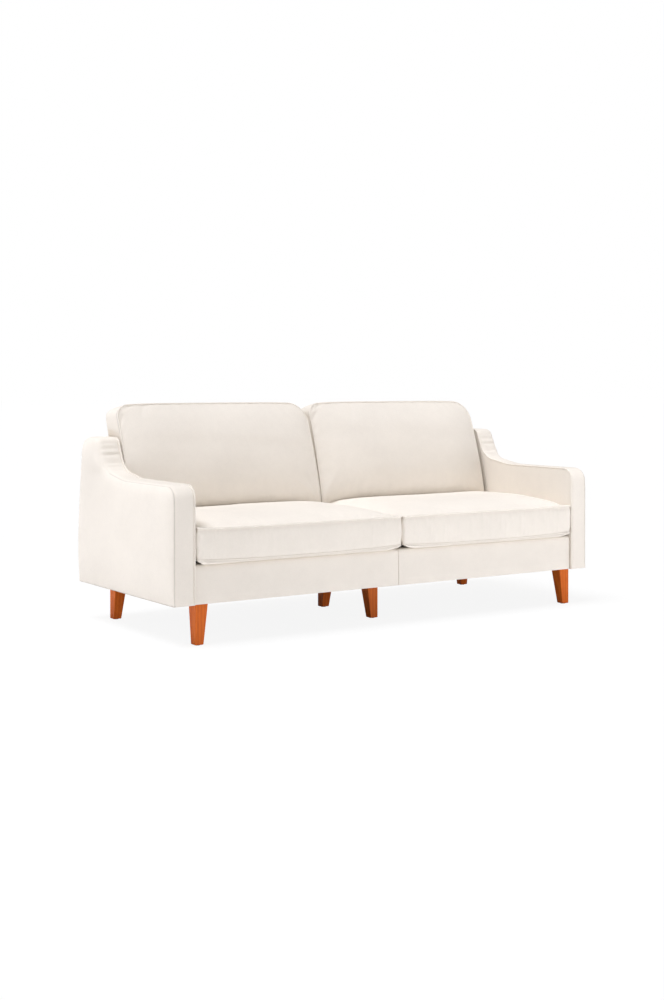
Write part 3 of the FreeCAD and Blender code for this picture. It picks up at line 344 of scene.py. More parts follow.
@dataclass
class BoxedShell:
    """A closed cover: two facing panels on grids, and a wall that joins their borders.

    The first panel faces along its columns crossed with its rows, the second faces the
    other way, and both run alike. The wall's rows lie between their borders. Where the
    distances to the nearest seam are given, the mesh carries them as a mask that fades
    with the square of the distance, by which the cloth paints shade along the seams.
    """

    face: Array
    wall: Array
    back: Array
    face_uv: Array
    wall_uv: Array
    back_uv: Array
    mirrored: bool = False
    seam_shade_gaps: tuple[Array, Array, Array] | None = None
    seam_width: float = 1.6 * MM

    @property
    def seams(self) -> Array:
        """Indexes of the vertices on both panels' borders.

        Returns:
            The indexes, the first panel's before the second's.
        """
        rows, columns = self.face.shape[:2]
        border = rim(rows, columns)
        return np.concatenate([border, border + rows * columns + self.wall.size // 3])

    def build(self, name: str) -> Piece:
        """Makes the object, turned over if it is mirrored.

        Args:
            name: The object's name.

        Returns:
            The new object.
        """
        rows, columns = self.face.shape[:2]
        border = rim(rows, columns)
        panel = rows * columns
        steps, ring = len(self.wall), len(border)
        walls = panel + np.arange(steps * ring).reshape(steps, ring)
        levels = np.concatenate([border[None], walls, border[None] + panel + steps * ring])
        turn = np.roll(levels, -1, axis=1)
        strip = np.stack([levels[:-1], levels[1:], turn[1:], turn[:-1]], axis=-1).reshape(-1, 4)
        cells = grid_quads(rows, columns)
        quads = np.concatenate([cells, strip, cells[:, ::-1] + panel + steps * ring])
        spans = self.wall_uv
        strip_uv = np.stack([spans[:-1, :-1], spans[1:, :-1], spans[1:, 1:], spans[:-1, 1:]], axis=2)
        uv = np.concatenate([
            self.face_uv.reshape(-1, 2)[cells],
            strip_uv.reshape(-1, 4, 2),
            self.back_uv.reshape(-1, 2)[cells[:, ::-1]],
        ])
        points = np.concatenate([part.reshape(-1, 3) for part in (self.face, self.wall, self.back)])
        if self.mirrored:
            points = points * MIRROR
            quads = quads[:, ::-1]
            uv = uv[:, ::-1]
        piece = make_object(name, points, quads, uv)
        if self.seam_shade_gaps is not None:
            gaps = np.concatenate([gap.ravel() for gap in self.seam_shade_gaps])
            # This mask paints shade into the cloth's colour along the seams.
            layer = piece.data.attributes.new(SEAM_SHADE_MASK, "FLOAT", "POINT")
            layer.data.foreach_set("value", bell(gaps, self.seam_width).astype(np.float32))
        return piece


def wall_map(ring: Array, depth: Array) -> Array:
    """Cloth coordinates of a wall, shape (rows, n + 1, 2): the way round it, and the depth across."""
    return np.stack(np.meshgrid(travelled(ring, closed=True), depth), axis=-1)


@dataclass(frozen=True)
class Welt:
    """A cloth-covered cord sewn into a seam."""

    radius: float = 3.1 * MM
    sides: int = 10
    unevenness: float = 0.05
    uneven_wave: float = 24 * MM
    end_share: float = 0.05

    def build(self, name: str, path: Array, closed: bool, seed: int) -> Piece:
        """Carries a circle along the seam.

        At each point of the path the circle lies square to the run, its radius varied a
        little by an uneven wave. Open ends close to a point.

        Args:
            name: The object's name.
            path: The cord's middle line, shape (n, 3).
            closed: Whether the last point joins the first.
            seed: Picks the unevenness.

        Returns:
            The welt.
        """
        if closed:
            run = np.roll(path, -1, axis=0) - np.roll(path, 1, axis=0)
        else:
            run = np.gradient(path, axis=0)
        along = travelled(path, closed)
        run /= np.linalg.norm(run, axis=1, keepdims=True)
        spread = path - path.mean(axis=0)
        axis = np.linalg.svd(spread, full_matrices=False)[2][2]
        across = np.cross(run, axis)
        across /= np.linalg.norm(across, axis=1, keepdims=True)
        up = np.cross(across, run)
        turn = np.linspace(0.0, 2 * np.pi, self.sides, endpoint=False)
        radius = self.radius * (1 + self.unevenness * ripple(along[: len(path)], self.uneven_wave, seed))
        if not closed:
            radius[[0, -1]] *= self.end_share
        circle = across[:, None] * np.cos(turn)[:, None] + up[:, None] * np.sin(turn)[:, None]
        points = path[:, None] + radius[:, None, None] * circle
        index = np.arange(len(path) * self.sides).reshape(len(path), self.sides)
        index = np.concatenate([index, index[:1]]) if closed else index
        index = np.concatenate([index, index[:, :1]], axis=1)
        corners = [index[:-1, :-1], index[1:, :-1], index[1:, 1:], index[:-1, 1:]]
        quads = np.stack(corners, axis=-1).reshape(-1, 4)
        girth = np.linspace(0.0, 2 * np.pi * self.radius, self.sides + 1)
        spans = np.stack(np.meshgrid(along, girth, indexing="ij"), axis=-1)
        uv = np.stack([spans[:-1, :-1], spans[1:, :-1], spans[1:, 1:], spans[:-1, 1:]], axis=2)
        piece = make_object(name, points.reshape(-1, 3), quads, uv.reshape(-1, 4, 2))
        face_outwards(piece, close=not closed)
        return piece


def face_outwards(piece: Piece, close: bool = False) -> None:
    """Turns a mesh's faces outwards, after its doubles are merged.

    Args:
        piece: The object whose mesh is mended.
        close: Whether open borders are filled first.
    """
    mesh = bmesh.new()
    mesh.from_mesh(piece.data)
    bmesh.ops.remove_doubles(mesh, verts=mesh.verts, dist=1e-6)
    if close:
        bmesh.ops.holes_fill(mesh, edges=mesh.edges, sides=0)
    bmesh.ops.recalc_face_normals(mesh, faces=mesh.faces)
    mesh.to_mesh(piece.data)
    mesh.free()


def smooth(piece: Piece) -> None:
    """Adds a subdivision surface of one level to a piece.

    Args:
        piece: The piece.
    """
    finer = piece.modifiers.new("finer", "SUBSURF")
    finer.levels = 1
    finer.render_levels = 1


@dataclass(frozen=True)
class Puff:
    """Blows a sewn cover up like a stuffed one, by cloth simulation between its seams."""

    slack: float
    cap: float
    pressure: float = 4.0
    frames: int = 20
    quality: int = 5
    mass: float = 0.3
    stretch: float = 15.0
    shear: float = 6.0
    bending: float = 0.4

    def run(self, piece: Piece, seams: Array) -> None:
        """Simulates the cover with its seams held, and keeps the result in its mesh.

        The cloth is cut a little larger than the shape, so that it puckers at the seams.
        A point's move m becomes cap * tanh(m / cap).

        Args:
            piece: The closed cover.
            seams: Indexes of the vertices that the seams hold.
        """
        scene = bpy.context.scene
        count = len(piece.data.vertices)
        start = np.empty(count * 3, dtype=np.float32)
        piece.data.vertices.foreach_get("co", start)
        held = piece.vertex_groups.new(name="seams")
        held.add(seams.tolist(), 1.0, "REPLACE")
        cloth = piece.modifiers.new("puff", "CLOTH")
        settings = cloth.settings
        settings.quality = self.quality
        settings.mass = self.mass
        settings.tension_stiffness = self.stretch
        settings.compression_stiffness = self.stretch
        settings.shear_stiffness = self.shear
        settings.bending_stiffness = self.bending
        settings.use_pressure = True
        settings.uniform_pressure_force = self.pressure
        settings.shrink_min = -self.slack
        settings.effector_weights.gravity = 0.0
        settings.vertex_group_mass = held.name
        cloth.collision_settings.use_collision = False
        cloth.collision_settings.use_self_collision = False
        cloth.point_cache.frame_start = 1
        cloth.point_cache.frame_end = self.frames
        for frame in range(1, self.frames + 1):
            scene.frame_set(frame)
        moved = np.empty(count * 3, dtype=np.float32)
        seen = piece.evaluated_get(bpy.context.evaluated_depsgraph_get())
        seen.data.vertices.foreach_get("co", moved)
        piece.modifiers.remove(cloth)
        piece.vertex_groups.remove(held)
        scene.frame_set(1)
        move = (moved - start).reshape(-1, 3)
        length = np.linalg.norm(move, axis=1, keepdims=True)
        move *= self.cap * np.tanh(length / self.cap) / np.maximum(length, 1e-9)
        LOG.info("%s: mean move %.1f mm, most %.1f mm", piece.name, length.mean() / MM, length.max() / MM)
        piece.data.vertices.foreach_set("co", start + move.ravel())
        piece.data.update()


def reshape(piece: Piece, change: Change) -> None:
    """Passes a mesh's vertices through a function.

    Args:
        piece: The object whose mesh changes.
        change: Takes and returns an array of points, shape (n, 3).
    """
    points = np.empty(len(piece.data.vertices) * 3, dtype=np.float32)
    piece.data.vertices.foreach_get("co", points)
    points = change(points.reshape(-1, 3).astype(np.float64))
    piece.data.vertices.foreach_set("co", points.astype(np.float32).ravel())
    piece.data.update()


class Bench:
    """Lays nodes and links in one shader tree with short calls."""

    def __init__(self, tree: bpy.types.NodeTree) -> None:
        """Keeps the tree."""
        self.tree = tree

    def add(self, kind: str, **settings: object) -> bpy.types.Node:
        """Adds a node.

        Args:
            kind: The node's type name.
            **settings: Its properties.

        Returns:
            The node.
        """
        node = self.tree.nodes.new(kind)
        for key, value in settings.items():
            setattr(node, key, value)
        return node

    def join(self, source: Socket, target: Socket) -> None:
        """Links one socket to another."""
        self.tree.links.new(source, target)

    def feed(self, target: Socket, value: Value) -> None:
        """Links a socket, or sets it if the value is a plain number or colour.

        Args:
            target: The input.
            value: What it gets.
        """
        if isinstance(value, bpy.types.NodeSocket):
            self.join(value, target)
        else:
            target.default_value = value

    def sum(self, operation: str, first: Value, second: Value = 0.0, third: Value = 0.0) -> Socket:
        """Adds a Math node.

        Args:
            operation: The node's operation.
            first: A socket or a number.
            second: A socket or a number.
            third: A socket or a number.

        Returns:
            The result.
        """
        node = self.add("ShaderNodeMath", operation=operation)
        for target, value in zip(node.inputs, (first, second, third)):
            self.feed(target, value)
        return node.outputs[0]

    def noise(self, vector: Socket, scale: Value, detail: float = 3.0, roughness: float = 0.55) -> Socket:
        """Adds a noise texture and returns its value.

        Args:
            vector: Where it is read.
            scale: How fine it is.
            detail: Its octaves.
            roughness: How much each octave adds.

        Returns:
            The value.
        """
        node = self.add("ShaderNodeTexNoise")
        self.feed(node.inputs["Vector"], vector)
        self.feed(node.inputs["Scale"], scale)
        node.inputs["Detail"].default_value = detail
        node.inputs["Roughness"].default_value = roughness
        return node.outputs["Fac"]

    def stretched(self, vector: Socket, scale: Triple) -> Socket:
        """Scales a vector along its axes.

        Args:
            vector: The vector.
            scale: The factor along each axis.

        Returns:
            The scaled vector.
        """
        node = self.add("ShaderNodeVectorMath", operation="MULTIPLY")
        self.feed(node.inputs[0], vector)
        node.inputs[1].default_value = scale
        return node.outputs[0]

    def remap(
        self, value: Socket, low: float, high: float, to_low: float = 0.0, to_high: float = 1.0
    ) -> Socket:
        """Maps a range of values onto another, clamped.

        Args:
            value: The value.
            low: Where its range starts.
            high: Where its range ends.
            to_low: Where the new range starts.
            to_high: Where the new range ends.

        Returns:
            The new value.
        """
        node = self.add("ShaderNodeMapRange")
        numbers = (value, low, high, to_low, to_high)
        for key, number in zip(("Value", "From Min", "From Max", "To Min", "To Max"), numbers):
            self.feed(node.inputs[key], number)
        return node.outputs["Result"]

    def mix(self, factor: Socket, first: Value, second: Value) -> Socket:
        """Mixes two colours.

        Args:
            factor: The second colour's share.
            first: A colour.
            second: A colour.

        Returns:
            The mix.
        """
        node = self.add("ShaderNodeMix", data_type="RGBA")
        self.feed(node.inputs[0], factor)
        self.feed(node.inputs[6], first)
        self.feed(node.inputs[7], second)
        return node.outputs[2]


class NodeGroups:
    """Shader groups that several finishes share, each built once."""

    _made: dict[str, bpy.types.NodeTree] = {}

    @classmethod
    def open_group(cls, name: str, inputs: dict[str, tuple[str, float]], outputs: dict[str, str]) -> Bench:
        """Starts a group with named sockets.

        Args:
            name: The group's name.
            inputs: Socket type and default for each input name.
            outputs: Socket type for each output name.

        Returns:
            A bench on the group's tree, with its group_in and group_out nodes.
        """
        tree = bpy.data.node_groups.new(name, "ShaderNodeTree")
        for key, (kind, default) in inputs.items():
            socket = tree.interface.new_socket(key, in_out="INPUT", socket_type=kind)
            if kind == "NodeSocketFloat":
                socket.default_value = default
        for key, kind in outputs.items():
            tree.interface.new_socket(key, in_out="OUTPUT", socket_type=kind)
        bench = Bench(tree)
        bench.group_in = bench.add("NodeGroupInput").outputs
        bench.group_out = bench.add("NodeGroupOutput").inputs
        cls._made[name] = tree
        return bench

    @classmethod
    def place(cls, bench: Bench, name: str, **values: Value) -> bpy.types.Node:
        """Puts a shared group into a material.

        Args:
            bench: The material's bench.
            name: The group's name.
            **values: Values for its inputs, with spaces as underscores.

        Returns:
            The group's node.
        """
        if name not in cls._made:
            getattr(cls, name)()
        node = bench.add("ShaderNodeGroup", node_tree=cls._made[name])
        for key, value in values.items():
            bench.feed(node.inputs[key.replace("_", " ")], value)
        return node

    @classmethod
    def plain_weave(cls) -> None:
        """Threads that pass over and under each other in turn, with slubs.

        Along each direction a thread is a rounded ridge, high where it passes over. The
        height is the higher of the two, and the tone falls between the threads.
        """
        number = "NodeSocketFloat"
        inputs = {"Cloth": ("NodeSocketVector", 0.0), "Threads": (number, 800.0), "Slub": (number, 0.3)}
        bench = cls.open_group("plain_weave", inputs, {"Height": number, "Tone": number})
        cloth = bench.group_in["Cloth"]
        wander = bench.add("ShaderNodeTexNoise", noise_dimensions="2D")
        bench.join(cloth, wander.inputs["Vector"])
        wander.inputs["Scale"].default_value = 90.0
        shift = bench.add("ShaderNodeVectorMath", operation="MULTIPLY_ADD")
        bench.join(wander.outputs["Color"], shift.inputs[0])
        shift.inputs[1].default_value = (0.0012, 0.0012, 0.0)
        bench.join(cloth, shift.inputs[2])
        parts = bench.add("ShaderNodeSeparateXYZ")
        bench.join(shift.outputs[0], parts.inputs[0])
        warp = bench.sum("MULTIPLY", parts.outputs[0], bench.group_in["Threads"])
        weft = bench.sum("MULTIPLY", parts.outputs[1], bench.group_in["Threads"])
        heights = []
        for across, along in ((warp, weft), (weft, warp)):
            ridge = bench.sum("ABSOLUTE", bench.sum("SINE", bench.sum("MULTIPLY", across, math.pi)))
            odd = bench.sum("ADD", along, bench.sum("FLOOR", across))
            over = bench.sum("COSINE", bench.sum("MULTIPLY", odd, math.pi))
            if across is weft:
                over = bench.sum("MULTIPLY", over, -1.0)
            over = bench.sum("MULTIPLY_ADD", over, 0.5, 0.5)
            heights.append(bench.sum("MULTIPLY", ridge, over))
        top = bench.sum("MAXIMUM", *heights)
        long_slub = bench.noise(bench.stretched(cloth, (60.0, 900.0, 1.0)), 1.0, 2.0)
        cross_slub = bench.noise(bench.stretched(cloth, (900.0, 60.0, 1.0)), 1.0, 2.0)
        slub = bench.sum("ADD", long_slub, cross_slub)
        slub = bench.sum("MULTIPLY", bench.sum("SUBTRACT", slub, 1.0), bench.group_in["Slub"])
        bench.join(bench.sum("ADD", top, slub), bench.group_out["Height"])
        tone = bench.sum("ADD", bench.sum("MULTIPLY_ADD", top, 0.5, 0.45), slub)
        bench.join(bench.remap(tone, 0.0, 1.0), bench.group_out["Tone"])

    @classmethod
    def mottle(cls) -> None:
        """Cloudy unevenness at two sizes, as a mask from 0 to 1."""
        number = "NodeSocketFloat"
        inputs = {"Place": ("NodeSocketVector", 0.0), "Scale": (number, 6.0)}
        bench = cls.open_group("mottle", inputs, {"Mask": number})
        scale = bench.group_in["Scale"]
        broad = bench.noise(bench.group_in["Place"], scale, 2.0)
        fine = bench.noise(bench.group_in["Place"], bench.sum("MULTIPLY", scale, 7.0), 3.0)
        both = bench.sum("MULTIPLY_ADD", fine, 0.35, bench.sum("MULTIPLY", broad, 0.65))
        bench.join(bench.remap(both, 0.32, 0.68), bench.group_out["Mask"])

    @classmethod
    def timber_grain(cls) -> None:
        """Growth rings cut lengthwise, with pores, as two masks from 0 to 1.

        Space is squeezed across the grain, bent by noise, and read by a sine for the
        rings and by fine drawn-out noise for the pores.
        """
        number = "NodeSocketFloat"
        inputs = {"Place": ("NodeSocketVector", 0.0), "Rings": (number, 140.0), "Bend": (number, 3.0)}
        bench = cls.open_group("timber_grain", inputs, {"Rings": number, "Pores": number})
        place = bench.group_in["Place"]
        drift = bench.noise(bench.stretched(place, (9.0, 9.0, 1.6)), 1.0, 3.0)
        parts = bench.add("ShaderNodeSeparateXYZ")
        bench.join(place, parts.inputs[0])
        across = bench.sum("MULTIPLY_ADD", parts.outputs[1], 0.35, parts.outputs[0])
        count = bench.sum("MULTIPLY", across, bench.group_in["Rings"])
        bent = bench.sum("MULTIPLY_ADD", drift, bench.sum("MULTIPLY", bench.group_in["Bend"], 4.0), count)
        wave = bench.sum("SINE", bent)
        bench.join(bench.remap(wave, -1.0, 1.0), bench.group_out["Rings"])
        pores = bench.noise(bench.stretched(place, (900.0, 900.0, 22.0)), 1.0, 2.0)
        bench.join(bench.remap(pores, 0.42, 0.75), bench.group_out["Pores"])


@dataclass(frozen=True)
class Finish:
    """A surface finish, with its name and middle colour."""

    name: str
    colour: Triple

    def material(self) -> bpy.types.Material:
        """Builds the finish once and returns its material.

        Returns:
            The material.
        """
        made = bpy.data.materials.get(self.name)
        if made is None:
            made = bpy.data.materials.new(self.name)
            made.use_nodes = True
            bench = Bench(made.node_tree)
            shader = made.node_tree.nodes["Principled BSDF"]
            self.lay(bench, shader)
        return made

    def shade(self, factor: float) -> Colour:
        """The middle colour made lighter or darker."""
        red, green, blue = (min(1.0, part * factor) for part in self.colour)
        return (red, green, blue, 1.0)

    def bump(self, bench: Bench, shader: bpy.types.Node, height: Socket, distance: float) -> None:
        """Feeds a height into the shader's normal.

        Args:
            bench: The material's bench.
            shader: Its surface shader.
            height: The height.
            distance: How deep it goes, in metres.
        """
        node = bench.add("ShaderNodeBump")
        node.inputs["Distance"].default_value = distance
        node.inputs["Strength"].default_value = 1.0
        bench.join(height, node.inputs["Height"])
        bench.join(node.outputs["Normal"], shader.inputs["Normal"])

    def lay(self, bench: Bench, shader: bpy.types.Node) -> None:
        """Lays the finish's nodes; each kind of finish has its own."""
        raise NotImplementedError


@dataclass(frozen=True)
class WovenCloth(Finish):
    """Cloth in plain weave, whose threads follow the piece's cloth map."""

    threads: float = 850.0
    relief: float = 0.16 * MM
    slub: float = 0.35
    contrast: float = 0.05
    sheen: float = 0.18
    seam_shade: float = 0.65

    def lay(self, bench: Bench, shader: bpy.types.Node) -> None:
        """Weave for tone and height, clouds for a faint unevenness, painted shade along the seams, and sheen.

        Args:
            bench: The material's bench.
            shader: Its surface shader.
        """
        cloth = bench.add("ShaderNodeUVMap", uv_map=CLOTH_MAP).outputs["UV"]
        place = bench.add("ShaderNodeTexCoord").outputs["Object"]
        weave = NodeGroups.place(bench, "plain_weave", Cloth=cloth, Threads=self.threads, Slub=self.slub)
        cloud = NodeGroups.place(bench, "mottle", Place=place, Scale=5.0)
        tones = (self.shade(1 - 2 * self.contrast), self.shade(1 + self.contrast))
        paler_weave = bench.mix(weave.outputs["Tone"], *tones)
        deeper_weave = bench.mix(weave.outputs["Tone"], self.shade(1 - 3 * self.contrast), self.shade(1.0))
        # Painted shade: near a seam the colour is mixed towards 0.35 of the cloth's own, by up to seam_shade.
        seam = bench.add("ShaderNodeAttribute", attribute_name=SEAM_SHADE_MASK).outputs["Fac"]
        cloth_colour = bench.mix(cloud.outputs["Mask"], deeper_weave, paler_weave)
        seam_shade_share = bench.sum("MULTIPLY", seam, self.seam_shade)
        bench.join(bench.mix(seam_shade_share, cloth_colour, self.shade(0.35)), shader.inputs["Base Color"])
        rough = bench.remap(weave.outputs["Tone"], 0.0, 1.0, 0.92, 0.78)
        bench.join(rough, shader.inputs["Roughness"])
        shader.inputs["Sheen Weight"].default_value = self.sheen
        shader.inputs["Sheen Roughness"].default_value = 0.45
        shader.inputs["Specular IOR Level"].default_value = 0.25
        self.bump(bench, shader, weave.outputs["Height"], self.relief)


@dataclass(frozen=True)
class Timber(Finish):
    """Wood with its grain upright or along X."""

    dark: Triple = (0.40, 0.060, 0.003)
    rings: float = 150.0
    gloss: float = 0.38
    shine: float = 0.28
    along_x: bool = False

    def lay(self, bench: Bench, shader: bpy.types.Node) -> None:
        """Rings and pores darken the colour and roughen the surface.

        Args:
            bench: The material's bench.
            shader: Its surface shader.
        """
        place = bench.add("ShaderNodeTexCoord").outputs["Object"]
        if self.along_x:
            turned = bench.add("ShaderNodeMapping")
            turned.inputs["Rotation"].default_value = (0.0, math.pi / 2, 0.0)
            bench.join(place, turned.inputs["Vector"])
            place = turned.outputs["Vector"]
        grain = NodeGroups.place(bench, "timber_grain", Place=place, Rings=self.rings)
        cloud = NodeGroups.place(bench, "mottle", Place=place, Scale=11.0)
        pores = bench.sum("MULTIPLY", grain.outputs["Pores"], 0.35)
        depth = bench.sum("MULTIPLY_ADD", grain.outputs["Rings"], 0.30, pores)
        depth = bench.sum("MULTIPLY_ADD", cloud.outputs["Mask"], 0.25, depth)
        bench.join(bench.mix(depth, self.shade(1.12), (*self.dark, 1.0)), shader.inputs["Base Color"])
        rough = bench.sum("MULTIPLY_ADD", grain.outputs["Pores"], 0.16, self.gloss)
        bench.join(rough, shader.inputs["Roughness"])
        shader.inputs["Specular IOR Level"].default_value = self.shine
        self.bump(bench, shader, bench.sum("MULTIPLY", grain.outputs["Pores"], -1.0), 0.12 * MM)


@dataclass(frozen=True)
class Plywood(Finish):
    """Sheet timber with thin light and dark veneers through its thickness."""

    def lay(self, bench: Bench, shader: bpy.types.Node) -> None:
        """Bands along X for the veneers, over a soft grain.

        Args:
            bench: The material's bench.
            shader: Its surface shader.
        """
        place = bench.add("ShaderNodeTexCoord").outputs["Object"]
        parts = bench.add("ShaderNodeSeparateXYZ")
        bench.join(place, parts.inputs[0])
        ply = bench.sum("SINE", bench.sum("MULTIPLY", parts.outputs[0], 2100.0))
        soft = NodeGroups.place(bench, "timber_grain", Place=place, Rings=70.0)
        mask = bench.sum("MULTIPLY_ADD", soft.outputs["Rings"], 0.35, bench.remap(ply, -0.3, 0.3, 0.0, 0.5))
        bench.join(bench.mix(mask, self.shade(1.08), self.shade(0.72)), shader.inputs["Base Color"])
        bench.join(bench.remap(mask, 0.0, 1.0, 0.62, 0.8), shader.inputs["Roughness"])
        self.bump(bench, shader, soft.outputs["Pores"], -0.1 * MM)


@dataclass(frozen=True)
class Metal(Finish):
    """Plated or drawn steel with light wear."""

    roughness: float = 0.34

    def lay(self, bench: Bench, shader: bpy.types.Node) -> None:
        """Clouds vary the colour and the gloss.

        Args:
            bench: The material's bench.
            shader: Its surface shader.
        """
        place = bench.add("ShaderNodeTexCoord").outputs["Object"]
        cloud = NodeGroups.place(bench, "mottle", Place=place, Scale=60.0)
        colour = bench.mix(cloud.outputs["Mask"], self.shade(0.82), self.shade(1.08))
        bench.join(colour, shader.inputs["Base Color"])
        rough = bench.remap(cloud.outputs["Mask"], 0.0, 1.0, self.roughness + 0.14, self.roughness)
        bench.join(rough, shader.inputs["Roughness"])
        shader.inputs["Metallic"].default_value = 1.0
        self.bump(bench, shader, cloud.outputs["Mask"], 0.03 * MM)


@dataclass(frozen=True)
class Matted(Finish):
    """Moulded plastic, felt, foam or non-woven cloth: a grain of one size."""

    grain: float = 500.0
    relief: float = 0.1 * MM
    roughness: float = 0.8
    spread: float = 0.18

    def lay(self, bench: Bench, shader: bpy.types.Node) -> None:
        """Fine noise for the grain, with clouds over it.

        Args:
            bench: The material's bench.
            shader: Its surface shader.
        """
        place = bench.add("ShaderNodeTexCoord").outputs["Object"]
        fibre = bench.noise(place, self.grain, 4.0, 0.65)
        cloud = NodeGroups.place(bench, "mottle", Place=place, Scale=14.0)
        mask = bench.sum("MULTIPLY_ADD", cloud.outputs["Mask"], 0.4, bench.sum("MULTIPLY", fibre, 0.6))
        light, dark = self.shade(1 + self.spread), self.shade(1 - self.spread)
        bench.join(bench.mix(mask, dark, light), shader.inputs["Base Color"])
        rough = bench.remap(fibre, 0.2, 0.8, self.roughness + 0.1, self.roughness)
        bench.join(rough, shader.inputs["Roughness"])
        self.bump(bench, shader, fibre, self.relief)


FINISHES: dict[str, Finish] = {
    "body_fabric": WovenCloth("ivory_body_cloth", (0.860, 0.800, 0.722), seam_shade=0.45),
    "cushion_fabric": WovenCloth("ivory_cushion_cloth", (0.862, 0.802, 0.724), threads=800.0, slub=0.4),
    "stained_wood": Timber(
        "cherry_stained_timber", (0.62, 0.135, 0.010), rings=420.0, gloss=0.46, shine=0.18
    ),
    "frame_timber": Timber(
        "planed_pine", (0.60, 0.40, 0.21), dark=(0.42, 0.22, 0.08), rings=260.0, gloss=0.6, along_x=True
    ),
    "plywood": Plywood("birch_plywood", (0.62, 0.45, 0.27)),
    "spring_steel": Metal("oiled_spring_steel", (0.22, 0.22, 0.23)),
    "zinc_steel": Metal("zinc_plate", (0.58, 0.59, 0.60), roughness=0.28),
    "glide_plastic": Matted("dark_glide_plastic", (0.03, 0.028, 0.025), relief=0.02 * MM, roughness=0.45),
    "felt": Matted("grey_felt", (0.38, 0.36, 0.33), grain=900.0, relief=0.4 * MM, roughness=0.88),
    "dust_cloth": Matted("black_non_woven", (0.02, 0.02, 0.021), grain=700.0, relief=0.15 * MM, spread=0.4),
    "webbing": Matted("elastic_webbing", (0.16, 0.12, 0.08), grain=650.0, spread=0.3),
    "seat_foam": Matted("cut_foam", (0.82, 0.74, 0.50), grain=1100.0, relief=0.3 * MM),
    "cushion_fibre": Matted("fibre_in_lining", (0.84, 0.84, 0.82), grain=400.0, relief=0.3 * MM, spread=0.06),
}


def dress(piece: Piece, slot: Slot, body: str, *nodes: str) -> None:
    """Gives a new piece its finish, its body and the nodes that it stands for.

    Args:
        piece: The finished piece, in place.
        slot: The record's slot for its finish.
        body: The body that carries it.
        *nodes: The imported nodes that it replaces.
    """
    piece.data.materials.clear()
    piece.data.materials.append(FINISHES[slot.value].material())
    if nodes:
        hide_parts(*nodes)
    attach(piece, body)
    LOG.info("%s rides on %s, %d faces", piece.name, body, len(piece.data.polygons))


@dataclass(frozen=True)
class Wave:
    """Unevenness of cloth: how high it stands, how long its waves are and what it fades within."""

    height: float
    length: float
    reach: float

    def beside(self, gap: Array, along: Array, seed: int) -> Array:
        """Puckers beside a seam, which fade as exp(-gap / reach) and rise within 3 mm of it."""
        share = np.exp(-gap / self.reach) * (1 - np.exp(-gap / PUCKER_START))
        return self.height * share * ripple(along, self.length, seed)


@dataclass(frozen=True)
class Fold:
    """A soft ridge or, if its height is negative, a hollow, along a straight line of a panel."""

    start: Pair
    end: Pair
    width: float
    height: float

    def lift(self, first: Array, second: Array) -> Array:
        """How far the fold lifts each point: a bell across it, tapering at both ends.

        Args:
            first: One coordinate on the panel, in metres.
            second: The other coordinate.

        Returns:
            The lift in metres.
        """
        start, end = np.array(self.start), np.array(self.end)
        length = np.linalg.norm(end - start)
        run = (end - start) / length
        along = (first - start[0]) * run[0] + (second - start[1]) * run[1]
        across = (second - start[1]) * run[0] - (first - start[0]) * run[1]
        taper = np.sin(np.pi * unit(along / length)) ** 0.8
        return self.height * taper * bell(across, self.width)


def end_share(x: Array, half: float, side: Side) -> Array:
    """How full a cushion is: 1 - (|x| / half) to the 14th by the arm, to the 6th by the middle."""
    return 1 - unit(np.abs(x) / half) ** np.where(x * side.sign > 0, FULL_TO_ARM, FULL_TO_MIDDLE)


def stuff(body: str, shell: BoxedShell, puff: Puff, settle: Change) -> Piece:
    """Makes a cushion's cover, stuffs it, settles it in its room and dresses it.

    Args:
        body: The cushion's body.
        shell: The cover before it is stuffed.
        puff: How it is stuffed.
        settle: Keeps its points in their room.

    Returns:
        The cover.
    """
    piece = shell.build(f"{body}_cover")
    puff.run(piece, shell.seams)
    reshape(piece, settle)
    smooth(piece)
    dress(piece, Slot.CUSHION_FABRIC, body, body.replace("cushion", "cushion_cover"))
    return piece


